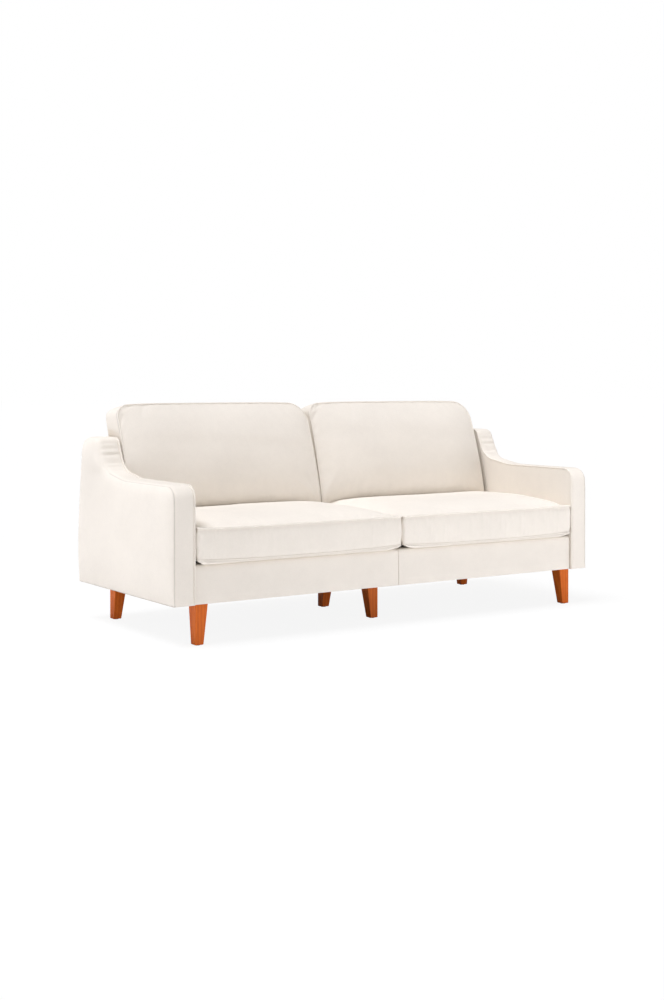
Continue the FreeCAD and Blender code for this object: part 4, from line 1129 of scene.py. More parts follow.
@dataclass
class SeatCushion:
    """A loose boxed seat cushion: crowned top, boxing between two welts, rolled underside."""

    side: Side
    columns: int = 130
    rows: int = 52
    plan_gather: float = 0.8
    boxing_rows: int = 11
    boxing_gather: float = 0.5
    boxing_power: float = 3.0
    welt: Welt = Welt(radius=3.3 * MM)
    lower_welt: Welt = Welt(radius=1.7 * MM, sides=8)
    welt_seeds: tuple[int, int] = (3, 5)
    puff: Puff = Puff(slack=0.009, cap=9 * MM)
    seeds: tuple[int, int] = (11, 23)
    upper_seam: float = 0.430
    lower_seam: float = 0.317
    front_seam: float = -0.4265
    tuck: float = 2.6 * MM
    lower_tuck: float = 1.4 * MM
    inner_corner: float = 0.007
    outer_corner: float = 0.014
    crown: float = 0.032
    crown_reach: float = 0.336
    shoulder: float = 0.0246
    shoulder_y: float = 0.147
    lip: float = 0.026
    lip_roll: float = 18 * MM
    lip_power: float = 0.75
    lower_sag: float = 9 * MM
    sag_power: float = 2.5
    slope_start: float = 0.1
    slope_reach: float = 0.4
    end_lifts: Pair = (12 * MM, 12 * MM)
    end_rises: Pair = (0.0, 0.0)
    rise_reach: float = 0.035
    split: float = 8 * MM
    nose: float = 4.0 * MM
    puckers: Wave = Wave(1.6 * MM, 34 * MM, 16 * MM)
    waves: Wave = Wave(1.1 * MM, 0.20, 0.05)
    hidden_by_back: float = 20 * MM
    hidden_fade: float = 40 * MM
    crease_height: float = 0.5 * MM
    crease_waves: Pair = (22 * MM, 70 * MM)
    pleat_width: float = 5.5 * MM
    pleat_height: float = 2.2 * MM
    pleats: tuple[float, ...] = ()
    folds: tuple[Fold, ...] = ()
    skin: float = 0.1 * MM
    seam_gap: float = 0.2 * MM
    deck_gap: float = 0.5 * MM
    least_deck_gap: float = 0.2 * MM
    front_room: float = 3 * MM
    foot_blend: float = 12 * MM
    crown_room: float = 0.02
    core_round: float = 12 * MM

    def __post_init__(self) -> None:
        """Takes the cushion's room from its packed cover, with the split a little to the right."""
        self.body = f"seat_cushion_{self.side.value}"
        self.seed = self.seeds[self.side is Side.RIGHT]
        self.low, self.high = room(f"seat_cushion_cover_{self.side.value}")
        split = self.high if self.side is Side.LEFT else self.low
        split[0] += self.split
        self.half = (self.high[0] - self.low[0]) / 2 - self.welt.radius - self.tuck - self.seam_gap
        self.middle = (self.high[0] + self.low[0]) / 2
        self.rear_seam = self.high[1] - self.welt.radius - self.tuck
        self.boxing_depth = self.upper_seam - self.lower_seam

    def rise(self, y: Array) -> Array:
        """How high the top stands over its seams, from front to rear.

        It climbs as 1 - (1 - d / reach) cubed behind the front seam, sinks as a parabola
        to the shoulder where the back cushion stands, and rounds down to the rear seam.

        Args:
            y: Places from front to rear.

        Returns:
            The heights.
        """
        ridge = self.front_seam + self.crown_reach
        climb = self.crown * (1 - (1 - unit((y - self.front_seam) / self.crown_reach)) ** 3)
        sink = unit((y - ridge) / (self.shoulder_y - ridge)) ** 2
        fall = unit((y - self.shoulder_y) / (self.rear_seam - self.shoulder_y)) ** 3
        top = np.where(y < ridge, climb, self.crown - (self.crown - self.shoulder) * sink)
        return top - self.shoulder * fall

    def seam_heights(self, x: Array, y: Array) -> tuple[Array, Array]:
        """How high the upper and the lower seam run at places in plan.

        Towards the front, the upper seam rises or falls exponentially near each end, and
        the lower seam sags by 1 - (|x| / half) to the power 2.5.

        Args:
            x: Places from the cushion's middle.
            y: Places from front to rear.

        Returns:
            The upper and the lower seam's heights.
        """
        ahead = unit((self.slope_start - y) / self.slope_reach)
        to_end = np.exp(-(self.half - np.abs(x)) / self.rise_reach)
        upper = self.upper_seam + np.where(x < 0, *self.end_rises) * to_end * ahead
        sag = 1 - unit(np.abs(x) / self.half) ** self.sag_power
        return upper, self.lower_seam - self.lower_sag * sag * ahead

    def plan(self) -> tuple[Array, Array]:
        """The grid's places in plan, about the cushion's middle, with round corners.

        Returns:
            Both coordinates, shape (rows, columns).
        """
        across = (2 * gathered(self.columns, self.plan_gather) - 1) * self.half
        depth = (self.rear_seam - self.front_seam) / 2
        along = (2 * gathered(self.rows, self.plan_gather) - 1) * depth
        x, y = np.meshgrid(across, along)
        radius = np.where(x * self.side.sign > 0, self.outer_corner, self.inner_corner)
        x, y = rounded(x, y, (self.half, depth), radius)
        return x, y + (self.rear_seam + self.front_seam) / 2

    def top(self, x: Array, y: Array, seam: Array, gap: Array, along: Array) -> Array:
        """The top's points.

        Over the seam's height stand the crown, puckers beside the seam, a faint swell
        where the back cushion leaves it open, and the folds.

        Args:
            x: Places from the cushion's middle.
            y: Places from front to rear.
            seam: The upper seam's height there.
            gap: Distances from the seam.
            along: How far along the seam each point lies.

        Returns:
            The points.
        """
        height = seam + end_share(x, self.half, self.side) * self.rise(y)
        height += self.puckers.beside(gap, along, self.seed)
        shown = unit((self.shoulder_y - self.hidden_by_back - y) / self.hidden_fade)
        calm = unit(gap / self.waves.reach)
        height += self.waves.height * shown * calm * swell(x, y, self.waves.length, self.seed)
        for fold in self.folds:
            height += fold.lift(x, y)
        return np.stack([x + self.middle, y, height], axis=-1)

    def underside(self, x: Array, y: Array, seam: Array, gap: Array, towards: Array) -> Array:
        """The underside's points.

        Under the lower seam a lip rolls out and back under the cushion, by the sine of
        pi times its share to the power 3/4, and sinks to the deck by a quarter of a sine.

        Args:
            x: Places from the cushion's middle.
            y: Places from front to rear.
            seam: The lower seam's height there.
            gap: Distances from the seam.
            towards: Directions to the seam.

        Returns:
            The points.
        """
        under = unit(gap / self.lip)
        lift = np.where(x < 0, *self.end_lifts) * (1 - end_share(x, self.half, self.side))
        floor = self.low[2] + self.deck_gap + lift
        base = seam - (seam - floor) * np.sin(np.pi / 2 * under)
        ahead = unit(-towards[..., 1])
        roll = (self.tuck + (self.lip_roll - self.tuck) * ahead) * np.sin(np.pi * under**self.lip_power)
        return np.stack([x + self.middle + roll * towards[..., 0], y + roll * towards[..., 1], base], axis=-1)

    def boxing(self, ring: Array, level: Array, high: Array, deep: Array) -> Array:
        """The boxing's points, row by row from the upper seam to the lower one.

        It stands proud by 1 - |2 t - 1| cubed. Its front also has creases, and pleats
        that swell by the square of a half sine.

        Args:
            ring: The seams in plan.
            level: How far down each row lies, from 0 to 1.
            high: The upper seam's heights.
            deep: The lower seam's heights.

        Returns:
            The points, both seams too.
        """
        normal = ring_normals(ring)
        full = 1 - np.abs(2 * level - 1) ** self.boxing_power
        front = unit(-normal[:, 1])
        out = self.nose * front + (self.welt.radius + self.tuck) * (1 - front)
        run = travelled(ring, closed=True)[:-1]
        fine = self.crease_height * ripple(run, self.crease_waves[0], self.seed + 1)
        broad = self.crease_height * ripple(run, self.crease_waves[1], self.seed + 2)
        spots = np.array(self.pleats)[:, None]
        pleat = bell(ring[:, 0] - spots, self.pleat_width).sum(axis=0) * front
        push = full[:, None] * (out + (fine + broad) * front)
        push = push + self.pleat_height * np.sin(np.pi * level)[:, None] ** 2 * pleat
        wall = np.empty((len(level), len(ring), 3))
        wall[..., :2] = ring + push[..., None] * normal
        wall[..., 0] += self.middle
        wall[..., 2] = high + level[:, None] * (deep - high)
        return wall

    def shell(self) -> BoxedShell:
        """The cover before it is stuffed.

        Returns:
            The shell, with its seams' distances.
        """
        x, y = self.plan()
        flat = np.stack([x, y], axis=-1)
        ring = edge_of(flat)
        gap, along, towards = nearest(flat, ring)
        upper, lower = self.seam_heights(x, y)
        face = self.top(x, y, upper, gap, along)
        back = self.underside(x, y, lower, gap, towards)
        level = gathered(self.boxing_rows + 2, self.boxing_gather)
        wall = self.boxing(ring, level, *edge_of(np.stack([upper, lower], axis=-1)).T)
        spans = wall_map(edge_of(face), level * self.boxing_depth)
        beside = np.minimum(level, 1 - level)[1:-1, None] * self.boxing_depth
        # The underside's distances start past the lip, so no shade is painted on the lip.
        gaps = (gap, beside + np.zeros(len(ring)), gap + self.lip)
        return BoxedShell(face, wall[1:-1], back, flat, spans, flat, seam_shade_gaps=gaps)

    def settle(self, points: Array) -> Array:
        """Keeps the stuffed cover in its own room.

        Args:
            points: Its vertices.

        Returns:
            The vertices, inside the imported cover's box, under the back cushion's foot and
            over the deck.
        """
        points[:, 0] = np.clip(points[:, 0], self.low[0] + self.skin, self.high[0] - self.skin)
        points[:, 1] = np.clip(points[:, 1], self.low[1] - self.front_room, self.high[1] - self.skin)
        under_back = unit((points[:, 1] - self.shoulder_y + self.foot_blend) / self.foot_blend)
        ceiling = self.upper_seam + self.shoulder + self.seam_gap + self.crown_room * (1 - under_back)
        points[:, 2] = np.clip(points[:, 2], self.low[2] + self.least_deck_gap, ceiling)
        return points

    def core(self) -> None:
        """Makes the block that fills the cover, with softened edges."""
        node = f"seat_cushion_core_{self.side.value}"
        piece = soft_block(f"seat_cushion_block_{self.side.value}", *room(node), self.core_round)
        dress(piece, Slot.SEAT_FOAM, self.body, node)

    def build(self) -> None:
        """Makes, stuffs and dresses the cushion and its welts, which lie a little outside its seams."""
        shell = self.shell()
        piece = stuff(self.body, shell, self.puff, self.settle)
        cords = ((shell.face, self.welt, self.tuck), (shell.back, self.lower_welt, self.lower_tuck))
        for name, seed, (panel, cord, out) in zip(("upper", "lower"), self.welt_seeds, cords):
            path = edge_of(panel)
            path[:, :2] += out * ring_normals(path[:, :2])
            dress(cord.build(f"{self.body}_{name}_welt", path, True, seed), Slot.CUSHION_FABRIC, self.body)
        self.core()


def soft_block(name: str, low: Array, high: Array, radius: float) -> Piece:
    """Makes a block with softened edges, for what lies inside a cover.

    Two flat grids face each other, with a wall that bulges by 1 - |2 t - 1| to the
    fourth, times half the radius.

    Args:
        name: The object's name.
        low: Its lowest corner.
        high: Its highest corner.
        radius: How round its edges are.

    Returns:
        The block.
    """
    half = (high - low) / 2
    middle = (high + low) / 2
    size = (half[0] - radius / 2, half[1] - radius / 2)
    even = (gathered(count, BLOCK_GATHER) for count in BLOCK_GRID)
    across, along = ((2 * place - 1) * reach for place, reach in zip(even, size))
    x, y = rounded(*np.meshgrid(across, along), size, radius)
    flat = np.stack([x, y], axis=-1)
    ring = edge_of(flat)
    face = np.stack([x + middle[0], y + middle[1], np.full(x.shape, high[2] - BLOCK_SKIN)], axis=-1)
    back = face.copy()
    back[..., 2] = low[2] + BLOCK_SKIN
    level = np.array(BLOCK_LEVELS)
    push = (radius / 2 - BLOCK_SKIN) * (1 - np.abs(2 * level - 1) ** 4)
    wall = np.empty((len(level), len(ring), 3))
    wall[..., :2] = ring + push[:, None, None] * ring_normals(ring) + middle[:2]
    wall[..., 2] = (face[0, 0, 2] + level * (back[0, 0, 2] - face[0, 0, 2]))[:, None]
    spans = wall_map(edge_of(face), level * 2 * half[2])
    piece = BoxedShell(face, wall[1:-1], back, flat, spans, flat).build(name)
    smooth(piece)
    return piece


@dataclass
class BackCushion:
    """A loose boxed back cushion that leans on the back: crowned face, gusset, flat rear."""

    side: Side
    columns: int = 84
    rows: int = 48
    plan_gather: float = 0.8
    gusset_rows: int = 9
    gusset_gather: float = 0.4
    gusset_power: float = 2.4
    welt: Welt = Welt()
    welt_seeds: tuple[int, int] = (7, 9)
    puff: Puff = Puff(slack=0.006, cap=7 * MM)
    seeds: tuple[int, int] = (41, 57)
    foot: Pair = (0.150, 0.4560)
    head: Pair = (0.275, 0.8765)
    rear_foot: float = 0.237
    rear_level: float = 0.298
    rear_lean: float = 0.2416
    rear_head: float = 0.848
    rear_gap: float = 1.6 * MM
    rear_rise: float = 4 * MM
    low_corner: float = 0.012
    high_corners: Pair = (0.050, 0.085)
    rear_corners: Pair = (0.022, 0.050)
    side_bow: float = 0.012
    crown: float = 0.030
    crown_powers: Triple = (3.6, 0.92, 3.2)
    top_bow: float = 0.009
    top_push: float = 4 * MM
    drawn_in: float = 4 * MM
    arm_gap: float = 1 * MM
    inner_gap: float = 0.0
    arm_taper: float = 0.0
    inner_taper: float = 0.0
    inner_fall: float = 0.0
    inner_reach: float = 0.04
    inner_power: float = 0.7
    over_arm: float = 14 * MM
    over_arm_ramp: float = 0.02
    over_arm_from: float = 0.5
    arm_top: float = 0.756
    tuck_under: float = 10 * MM
    tuck_reach: float = 0.028
    foot_roll: float = 3.4 * MM
    foot_roll_middle: float = 7 * MM
    foot_roll_width: float = 6 * MM
    seat_drop: float = 0.0246
    seat_drop_reach: float = 0.05
    puckers: Wave = Wave(1.5 * MM, 38 * MM, 18 * MM)
    waves: Wave = Wave(1.2 * MM, 0.24, 0.06)
    ripple_height: float = 1.3 * MM
    ripple_wave: float = 0.11
    ripple_slant: float = 0.06
    crease_height: float = 0.6 * MM
    crease_wave: float = 40 * MM
    folds: tuple[Fold, ...] = ()
    skin: float = 0.1 * MM
    welt_room: float = 0.3 * MM
    side_room: float = 6 * MM
    drop_room: float = 2 * MM
    head_room: float = 4 * MM
    back_room: float = 1.1 * MM
    core_depth: float = 0.072
    core_round: float = 16 * MM

    def __post_init__(self) -> None:
        """Takes the cushion's room from its packed cover, less its gaps."""
        self.body = f"back_cushion_{self.side.value}"
        self.seed = self.seeds[self.side is Side.RIGHT]
        self.low, self.high = room(f"back_cushion_cover_{self.side.value}")
        gaps = (self.arm_gap, self.inner_gap)[:: -self.side.sign]
        self.low[0] += gaps[0]
        self.high[0] -= gaps[1]
        self.half = (self.high[0] - self.low[0]) / 2 - self.welt.radius - self.welt_room
        self.middle = (self.high[0] + self.low[0]) / 2
        self.start = np.array([self.foot[0], self.foot[1] + self.welt.radius])
        self.end = np.array([self.head[0], self.head[1] - self.welt.radius])
        self.length = np.linalg.norm(self.end - self.start)
        self.run = (self.end - self.start) / self.length
        self.front = np.array([-self.run[1], self.run[0]])

    def outline(self, high_corners: Pair) -> tuple[Array, Array]:
        """A panel's grid: across, and up the lean from 0 to its length.

        Its sides draw in between their corners and taper towards the head, and its head
        bows up by 1 - (|x| / half) to the sixth.

        Args:
            high_corners: The upper corners' radii.

        Returns:
            Both coordinates.
        """
        across = (2 * gathered(self.columns, self.plan_gather) - 1) * self.half
        reach = self.length / 2
        up = (2 * gathered(self.rows, self.plan_gather) - 1) * reach
        x, v = np.meshgrid(across, up)
        radius = np.where(v > 0, np.where(x < 0, *high_corners), self.low_corner)
        x, v = rounded(x, v, (self.half, reach), radius)
        share = v / reach
        v = v + self.top_bow * (1 - (x / self.half) ** 6) * unit(share) ** 2
        taper = np.where(x * self.side.sign > 0, self.arm_taper, self.inner_taper) * (share + 1) / 2
        x = x * (1 - (self.drawn_in * (1 - share**2) + taper) / self.half)
        return x, v + reach

    def bulge(self, x: Array, v: Array) -> Array:
        """How far the face stands forward of the straight line from foot to head.

        It bows as 4 t (1 - t) at its sides, and by the crown times 1 - |2 w - 1| to the
        power 3.2 between them, where w is t to the power 0.92. Beside its inner edge it
        falls back.

        Args:
            x: Places from the cushion's middle.
            v: Places up the lean.

        Returns:
            The distances.
        """
        t = unit(v / self.length)
        across = unit(np.abs(x) / self.half)
        sides, lean, power = self.crown_powers
        belly = (1 - across**sides) * (1 - np.abs(2 * t**lean - 1) ** power)
        forward = self.side_bow * 4 * t * (1 - t) + self.crown * belly
        from_inner = np.clip(self.half + x * self.side.sign, 0, None)
        fall = self.inner_fall * np.exp(-from_inner / self.inner_reach)
        return forward - fall * np.sin(np.pi * t**self.inner_power)

    def lay_face(self, x: Array, v: Array, gap: Array, along: Array) -> Array:
        """The crowned face's points, with puckers by the seam, a faint swell and folds.

        Its foot tucks under as a parabola, has a small roll over it, and drops with the
        seat's crown at both ends.

        Args:
            x: Places from the cushion's middle.
            v: Places up the lean.
            gap: Distances from the seam.
            along: How far along the seam each point lies.

        Returns:
            The points.
        """
        forward = self.bulge(x, v)
        forward = forward + self.puckers.beside(gap, along, self.seed)
        waves = self.ripple_height * ripple(v + self.ripple_slant * x, self.ripple_wave, self.seed + 1)
        waves = waves + self.waves.height * swell(x, v, self.waves.length, self.seed + 2)
        forward += unit(gap / self.waves.reach) * waves
        for fold in self.folds:
            forward += fold.lift(x, v)
        forward -= self.tuck_under * (1 - unit(v / self.tuck_reach)) ** 2
        place = self.start + v[..., None] * self.run + forward[..., None] * self.front
        place[..., 1] -= self.foot_roll * bell(v - self.foot_roll_middle, self.foot_roll_width)
        share = end_share(x, self.half, self.side)
        place[..., 1] -= self.seat_drop * (1 - share) * np.exp(-v / self.seat_drop_reach)
        return np.concatenate([(x + self.middle)[..., None], place], axis=-1)

    def lay_rear(self, x: Array, v: Array) -> Array:
        """The rear panel's points, flat against the leaning back.

        Args:
            x: Places from the cushion's middle.
            v: Places up the lean.

        Returns:
            The points.
        """
        low = self.foot[1] + self.rear_rise
        z = low + (self.rear_head - low) * np.clip(v / self.length, 0, 1.02)
        y = self.rear_foot + (z - self.rear_level) * self.rear_lean - self.rear_gap
        return np.stack([x + self.middle, y, z], axis=-1)

    def gusset(self, ring: Array, level: Array, first: Array, last: Array) -> Array:
        """The gusset's points, row by row from the face's border to the rear panel's.

        It stands proud by 1 - |2 t - 1| to the power 2.4, least at the foot and most
        where it passes over the arm.

        Args:
            ring: The border in the plane of the lean.
            level: How far back each row lies, from 0 to 1.
            first: The face's border.
            last: The rear panel's border.

        Returns:
            The points, both borders too.
        """
        normal = ring_normals(ring)
        outward = np.concatenate([normal[:, :1], normal[:, 1:] * self.run], axis=1)
        full = 1 - np.abs(2 * level - 1) ** self.gusset_power
        up = unit(normal[:, 1])
        down = unit(-normal[:, 1])
        sides = np.abs(normal[:, 0]) ** 3
        out = (self.drawn_in + self.welt.radius) * sides + self.top_push * up**3
        past_arm = unit((first[:, 2] - self.arm_top) / self.over_arm_ramp)
        out += self.over_arm * past_arm * sides * (first[:, 0] * self.side.sign > self.over_arm_from)
        run = travelled(ring, closed=True)[:-1]
        out = out + self.crease_height * ripple(run, self.crease_wave, self.seed + 4) * (1 - down)
        wall = first + level[:, None, None] * (last - first)
        return wall + (full[:, None] * out)[..., None] * outward

    def shell(self) -> BoxedShell:
        """The cover before it is stuffed.

        Returns:
            The shell, with its seams' distances.
        """
        x, v = self.outline(self.high_corners)
        flat = np.stack([x, v], axis=-1)
        ring = edge_of(flat)
        gap, along, _ = nearest(flat, ring)
        face = self.lay_face(x, v, gap, along)
        back = self.lay_rear(*self.outline(self.rear_corners))
        first, last = edge_of(face), edge_of(back)
        level = gathered(self.gusset_rows + 2, self.gusset_gather)
        wall = self.gusset(ring, level, first, last)
        depth = np.linalg.norm(last - first, axis=1).mean()
        spans = wall_map(first, level * depth)
        beside = np.minimum(level, 1 - level)[1:-1, None] * depth
        gaps = (gap, beside + np.zeros(len(ring)), gap)
        return BoxedShell(face, wall[1:-1], back, flat, spans, flat, seam_shade_gaps=gaps)

    def settle(self, points: Array) -> Array:
        """Keeps the stuffed cover off the seat, the back and its neighbours.

        Args:
            points: Its vertices.

        Returns:
            The vertices, inside the cushion's own room.
        """
        beyond = self.over_arm * unit((points[:, 2] - self.arm_top) / self.over_arm_ramp)
        least = self.low[0] + self.skin - beyond * (self.side is Side.LEFT)
        most = self.high[0] - self.skin + beyond * (self.side is Side.RIGHT)
        points[:, 0] = np.clip(points[:, 0], least, most)
        share = end_share(points[:, 0] - self.middle, self.half + self.side_room, self.side)
        floor = self.foot[1] + self.skin - (self.seat_drop - self.drop_room) * (1 - share)
        points[:, 2] = np.clip(points[:, 2], floor, self.high[2] + self.head_room)
        rear = self.rear_foot + (points[:, 2] - self.rear_level) * self.rear_lean - self.back_room
        points[:, 1] = np.minimum(points[:, 1], rear)
        return points

    def core(self) -> None:
        """Makes the filling that the cover holds, leaning as the cushion does."""
        node = f"back_cushion_core_{self.side.value}"
        low, high = room(node)
        upright = np.array([high[0], low[1] + self.core_depth, high[2]])
        piece = soft_block(f"{self.body}_filling", low, upright, self.core_round)

        def tilt(points: Array) -> Array:
            """Shears the block backwards with height, along the lean."""
            points[:, 1] += (points[:, 2] - low[2]) / (high[2] - low[2]) * (high[1] - upright[1])
            return points

        reshape(piece, tilt)
        dress(piece, Slot.CUSHION_FIBRE, self.body, node)

    def build(self) -> None:
        """Makes, stuffs and dresses the cushion and its welts."""
        shell = self.shell()
        piece = stuff(self.body, shell, self.puff, self.settle)
        panels = (shell.face, shell.back)
        for name, seed, panel in zip(("front", "rear"), self.welt_seeds, panels):
            welt = self.welt.build(f"{self.body}_{name}_welt", edge_of(panel), True, seed)
            dress(welt, Slot.CUSHION_FABRIC, self.body)
        self.core()


@dataclass
class Outline:
    """A flat outline in the plane of Y and Z: straight runs with round corners."""

    points: tuple[Triple, ...]

    def trace(self, step: float) -> Array:
        """Walks the open chain of points, with an arc at each one that has a radius.

        Each arc touches both runs at the same distance from its corner, radius times the
        tangent of half the turn, and is sampled evenly.

        Args:
            step: The longest distance between samples.

        Returns:
            The samples, shape (n, 2).
        """
        spots = np.array([point[:2] for point in self.points])
        parts = [spots[:1]]
        for index in range(1, len(spots) - 1):
            radius = self.points[index][2]
            before = spots[index - 1] - spots[index]
            after = spots[index + 1] - spots[index]
            before /= np.linalg.norm(before)
            after /= np.linalg.norm(after)
            turn = math.pi - math.acos(float(np.clip(before @ after, -1, 1)))
            reach = radius * math.tan(turn / 2)
            bisector = (before + after) / np.linalg.norm(before + after)
            centre = spots[index] + bisector * math.hypot(radius, reach)
            first = spots[index] + before * reach - centre
            last = spots[index] + after * reach - centre
            share = np.linspace(0.0, 1.0, max(3, int(radius * turn / step) + 2))[:, None]
            arc = (np.sin((1 - share) * turn) * first + np.sin(share * turn) * last) / math.sin(turn)
            parts.append(centre + arc)
        parts.append(spots[-1:])
        return np.concatenate(parts)


def side_view(front: float, base: float, foot: float, upper: tuple[Triple, ...]) -> Array:
    """Samples of a profile from its front foot, over its upper corners, to its rear foot."""
    corners = ((foot, base, 0.0), *upper, *REAR_PROFILE, (REAR_FOOT, base, 0.0))
    return Outline(tuple((front + behind, z, radius) for behind, z, radius in corners)).trace(TRACE_STEP)


def stations(chain: Array, shares: Array) -> Array:
    """Points of a chain at shares of its length.

    Args:
        chain: The chain's samples, shape (n, 2).
        shares: Shares of its length, from 0 to 1.

    Returns:
        The points, shape (len(shares), 2).
    """
    along = travelled(chain)
    target = shares * along[-1]
    return np.stack([np.interp(target, along, chain[:, k]) for k in range(2)], axis=1)


def coons(bottom: Array, top: Array, front: Array, rear: Array, u: Array, v: Array) -> Array:
    """Fills four joined chains with a smooth grid.

    Each point blends the two chains across it and the two along it, less the blend of
    the four corners.

    Args:
        bottom: From front to rear, shape (columns, 2).
        top: From front to rear, shape (columns, 2).
        front: From bottom to top, shape (rows, 2).
        rear: From bottom to top, shape (rows, 2).
        u: Stations across, shape (columns,).
        v: Stations up, shape (rows,).

    Returns:
        The grid, shape (rows, columns, 2).
    """
    across, up = u[None, :, None], v[:, None, None]
    upright = (1 - up) * bottom[None] + up * top[None]
    level = (1 - across) * front[:, None] + across * rear[:, None]
    low = (1 - across) * bottom[0] + across * bottom[-1]
    high = (1 - across) * top[0] + across * top[-1]
    return upright + level - (1 - up) * low - up * high


@dataclass
class Profile:
    """An outline cut at its two upper corners, with the stations of a grid that fills it."""

    chain: Array
    corner_front: int
    corner_rear: int
    u: Array
    v: Array

    def grid(self) -> Array:
        """The grid that fills the outline, shape (rows, columns, 2).

        Returns:
            The grid.
        """
        foot = np.stack([self.chain[0], self.chain[-1]])
        top = self.chain[self.corner_front : self.corner_rear + 1]
        front = self.chain[: self.corner_front + 1]
        rear = self.chain[self.corner_rear :][::-1]
        u, v = self.u, self.v
        return coons(stations(foot, u), stations(top, u), stations(front, v), stations(rear, v), u, v)


@dataclass
class ScoopedArm:
    """A padded arm: a band over its front, top and rear between two side panels.

    Its profile is level at the front, rises in a scoop and ends in a crest.
    """

    side: Side
    columns: int = 150
    rows: int = 64
    band_rows: int = 17
    band_gather: float = 0.75
    panel_gather: float = 0.82
    welt: Welt = Welt(radius=3.4 * MM)
    welt_seed: int = 13
    seeds: tuple[int, int] = (71, 83)
    front: float = -0.422
    base: float = 0.151
    inner: float = 0.930
    outer: float = 1.0185
    front_part: float = 0.2
    scoop_span: Pair = (0.54, 0.70)
    crest_blend: Pair = (0.08, 0.06)
    crest_start: float = 0.595
    swelling: float = 14 * MM
    swelling_reaches: Pair = (0.045, 0.130)
    swelling_power: float = 2.4
    base_fullness: float = 0.45
    scoop_swell: float = 9 * MM
    scoop_swell_end: float = 0.82
    scoop_swell_fade: float = 0.20
    drops: Triple = (2 * MM, 3 * MM, 5.0 * MM)
    top_start: float = 0.50
    top_fade: float = 0.07
    base_fade: float = 0.02
    band_crown: float = 2.0 * MM
    crown_fade: float = 0.03
    flat_rear: Pair = (0.80, 0.05)
    fold_height: float = 2.1 * MM
    fold_pitch: float = 29 * MM
    fold_middle: float = 0.680
    fold_spread: float = 0.048
    fold_span: Pair = (0.56, 0.72)
    fold_wander: float = 1.1
    wander_wave: float = 0.07
    wander_seed: int = 5
    seam_depth: float = 3.6 * MM
    seam_width: float = 3.0 * MM
    welt_set_back: float = 1.4 * MM
    welt_groove: float = 2.6 * MM
    welt_groove_width: float = 2.4 * MM
    welt_stop: int = 6
    puckers: Wave = Wave(0.7 * MM, 45 * MM, 15 * MM)
    waves: Wave = Wave(1.0 * MM, 0.3, 0.08)
    inner_gap: float = 0.4 * MM
    inner_edge: float = 2.8 * MM
    inner_edge_width: float = 5 * MM
    unseamed: float = 0.05

    def crest_share(self, points: Array) -> Array:
        """How much a point of the profile's plane belongs to the scoop and the crest.

        Args:
            points: Points as depth and height.

        Returns:
            The share, from 0 to 1.
        """
        behind = unit((points[..., 0] - self.front - self.scoop_span[0]) / self.crest_blend[0])
        above = unit((points[..., 1] - self.crest_start) / self.crest_blend[1])
        share = behind * above
        return share * share * (3 - 2 * share)

    def profile(self) -> Profile:
        """Cuts the profile at its upper corners.

        The stations stand 2.6 times as close in the scoop, and 6 times at the corners,
        from where the crowding fades within 12 mm.

        Returns:
            The profile, cut.
        """
        chain = side_view(self.front, self.base, 0.0, ARM_PROFILE)
        along = travelled(chain)
        before = chain[:, 0] < self.front + self.front_part
        corner_front = int(np.argmax(np.where(before, chain[:, 1] - chain[:, 0], -np.inf)))
        corner_rear = int((chain[:, 0] + chain[:, 1]).argmax())
        start, end = (along[np.argmax(chain[:, 0] > self.front + place)] for place in self.scoop_span)
        length = along[corner_rear] - along[corner_front]
        place = np.linspace(0, 1, 800)
        walked = along[corner_front] + place * length
        density = 1 + 1.6 * ((walked > start) & (walked < end))
        for gap in (place, 1 - place):
            density = density + 5 * np.exp(-gap * length / (12 * MM))
        u = paced(self.columns, density)
        return Profile(chain, corner_front, corner_rear, u, gathered(self.rows, self.panel_gather))

    def off_base(self, points: Array, fade: float) -> Array:
        """From 0 at the profile's foot to 1 a little over it."""
        return unit((points[..., 1] - self.base) / fade)

    def outer_drop(self, ring: Array) -> Array:
        """How far the outer edge of the band falls below its middle, round the profile.

        A little at the front, more on top, and most on the scoop and the crest.

        Args:
            ring: The profile's points.

        Returns:
            The drop at each point.
        """
        front, top, crest = self.drops
        on_top = unit((ring[:, 1] - self.top_start) / self.top_fade)
        drop = front + on_top * top + crest * self.crest_share(ring)
        return drop * self.off_base(ring, self.base_fade)

    def side_rise(self, gap: Array) -> Array:
        """A panel's fullness: 1 less the mean of (1 - gap / reach) to the power 2.4, of two reaches."""
        falls = [unit(1 - gap / reach) ** self.swelling_power for reach in self.swelling_reaches]
        return 1 - sum(falls) / 2

    def band_swell(self, ring: Array, along: Array) -> Array:
        """How far the band's middle stands proud: a crown, and folds across the scoop.

        The folds are ridges about 29 mm apart on the slope that faces forward.

        Args:
            ring: The profile's points.
            along: How far round each point lies.

        Returns:
            The swell at each point.
        """
        y, z = ring[:, 0] - self.front, ring[:, 1]
        in_scoop = (y > self.fold_span[0]) & (y < self.fold_span[1])
        slope = bell(z - self.fold_middle, self.fold_spread) * in_scoop
        wander = self.fold_wander * ripple(along, self.wander_wave, self.wander_seed)
        folds = np.cos(2 * np.pi * along / self.fold_pitch + wander)
        rear = unit((y - self.flat_rear[0]) / self.flat_rear[1])
        crown = self.off_base(ring, self.crown_fade) * self.band_crown * (1 - rear)
        return crown + self.fold_height * slope * folds

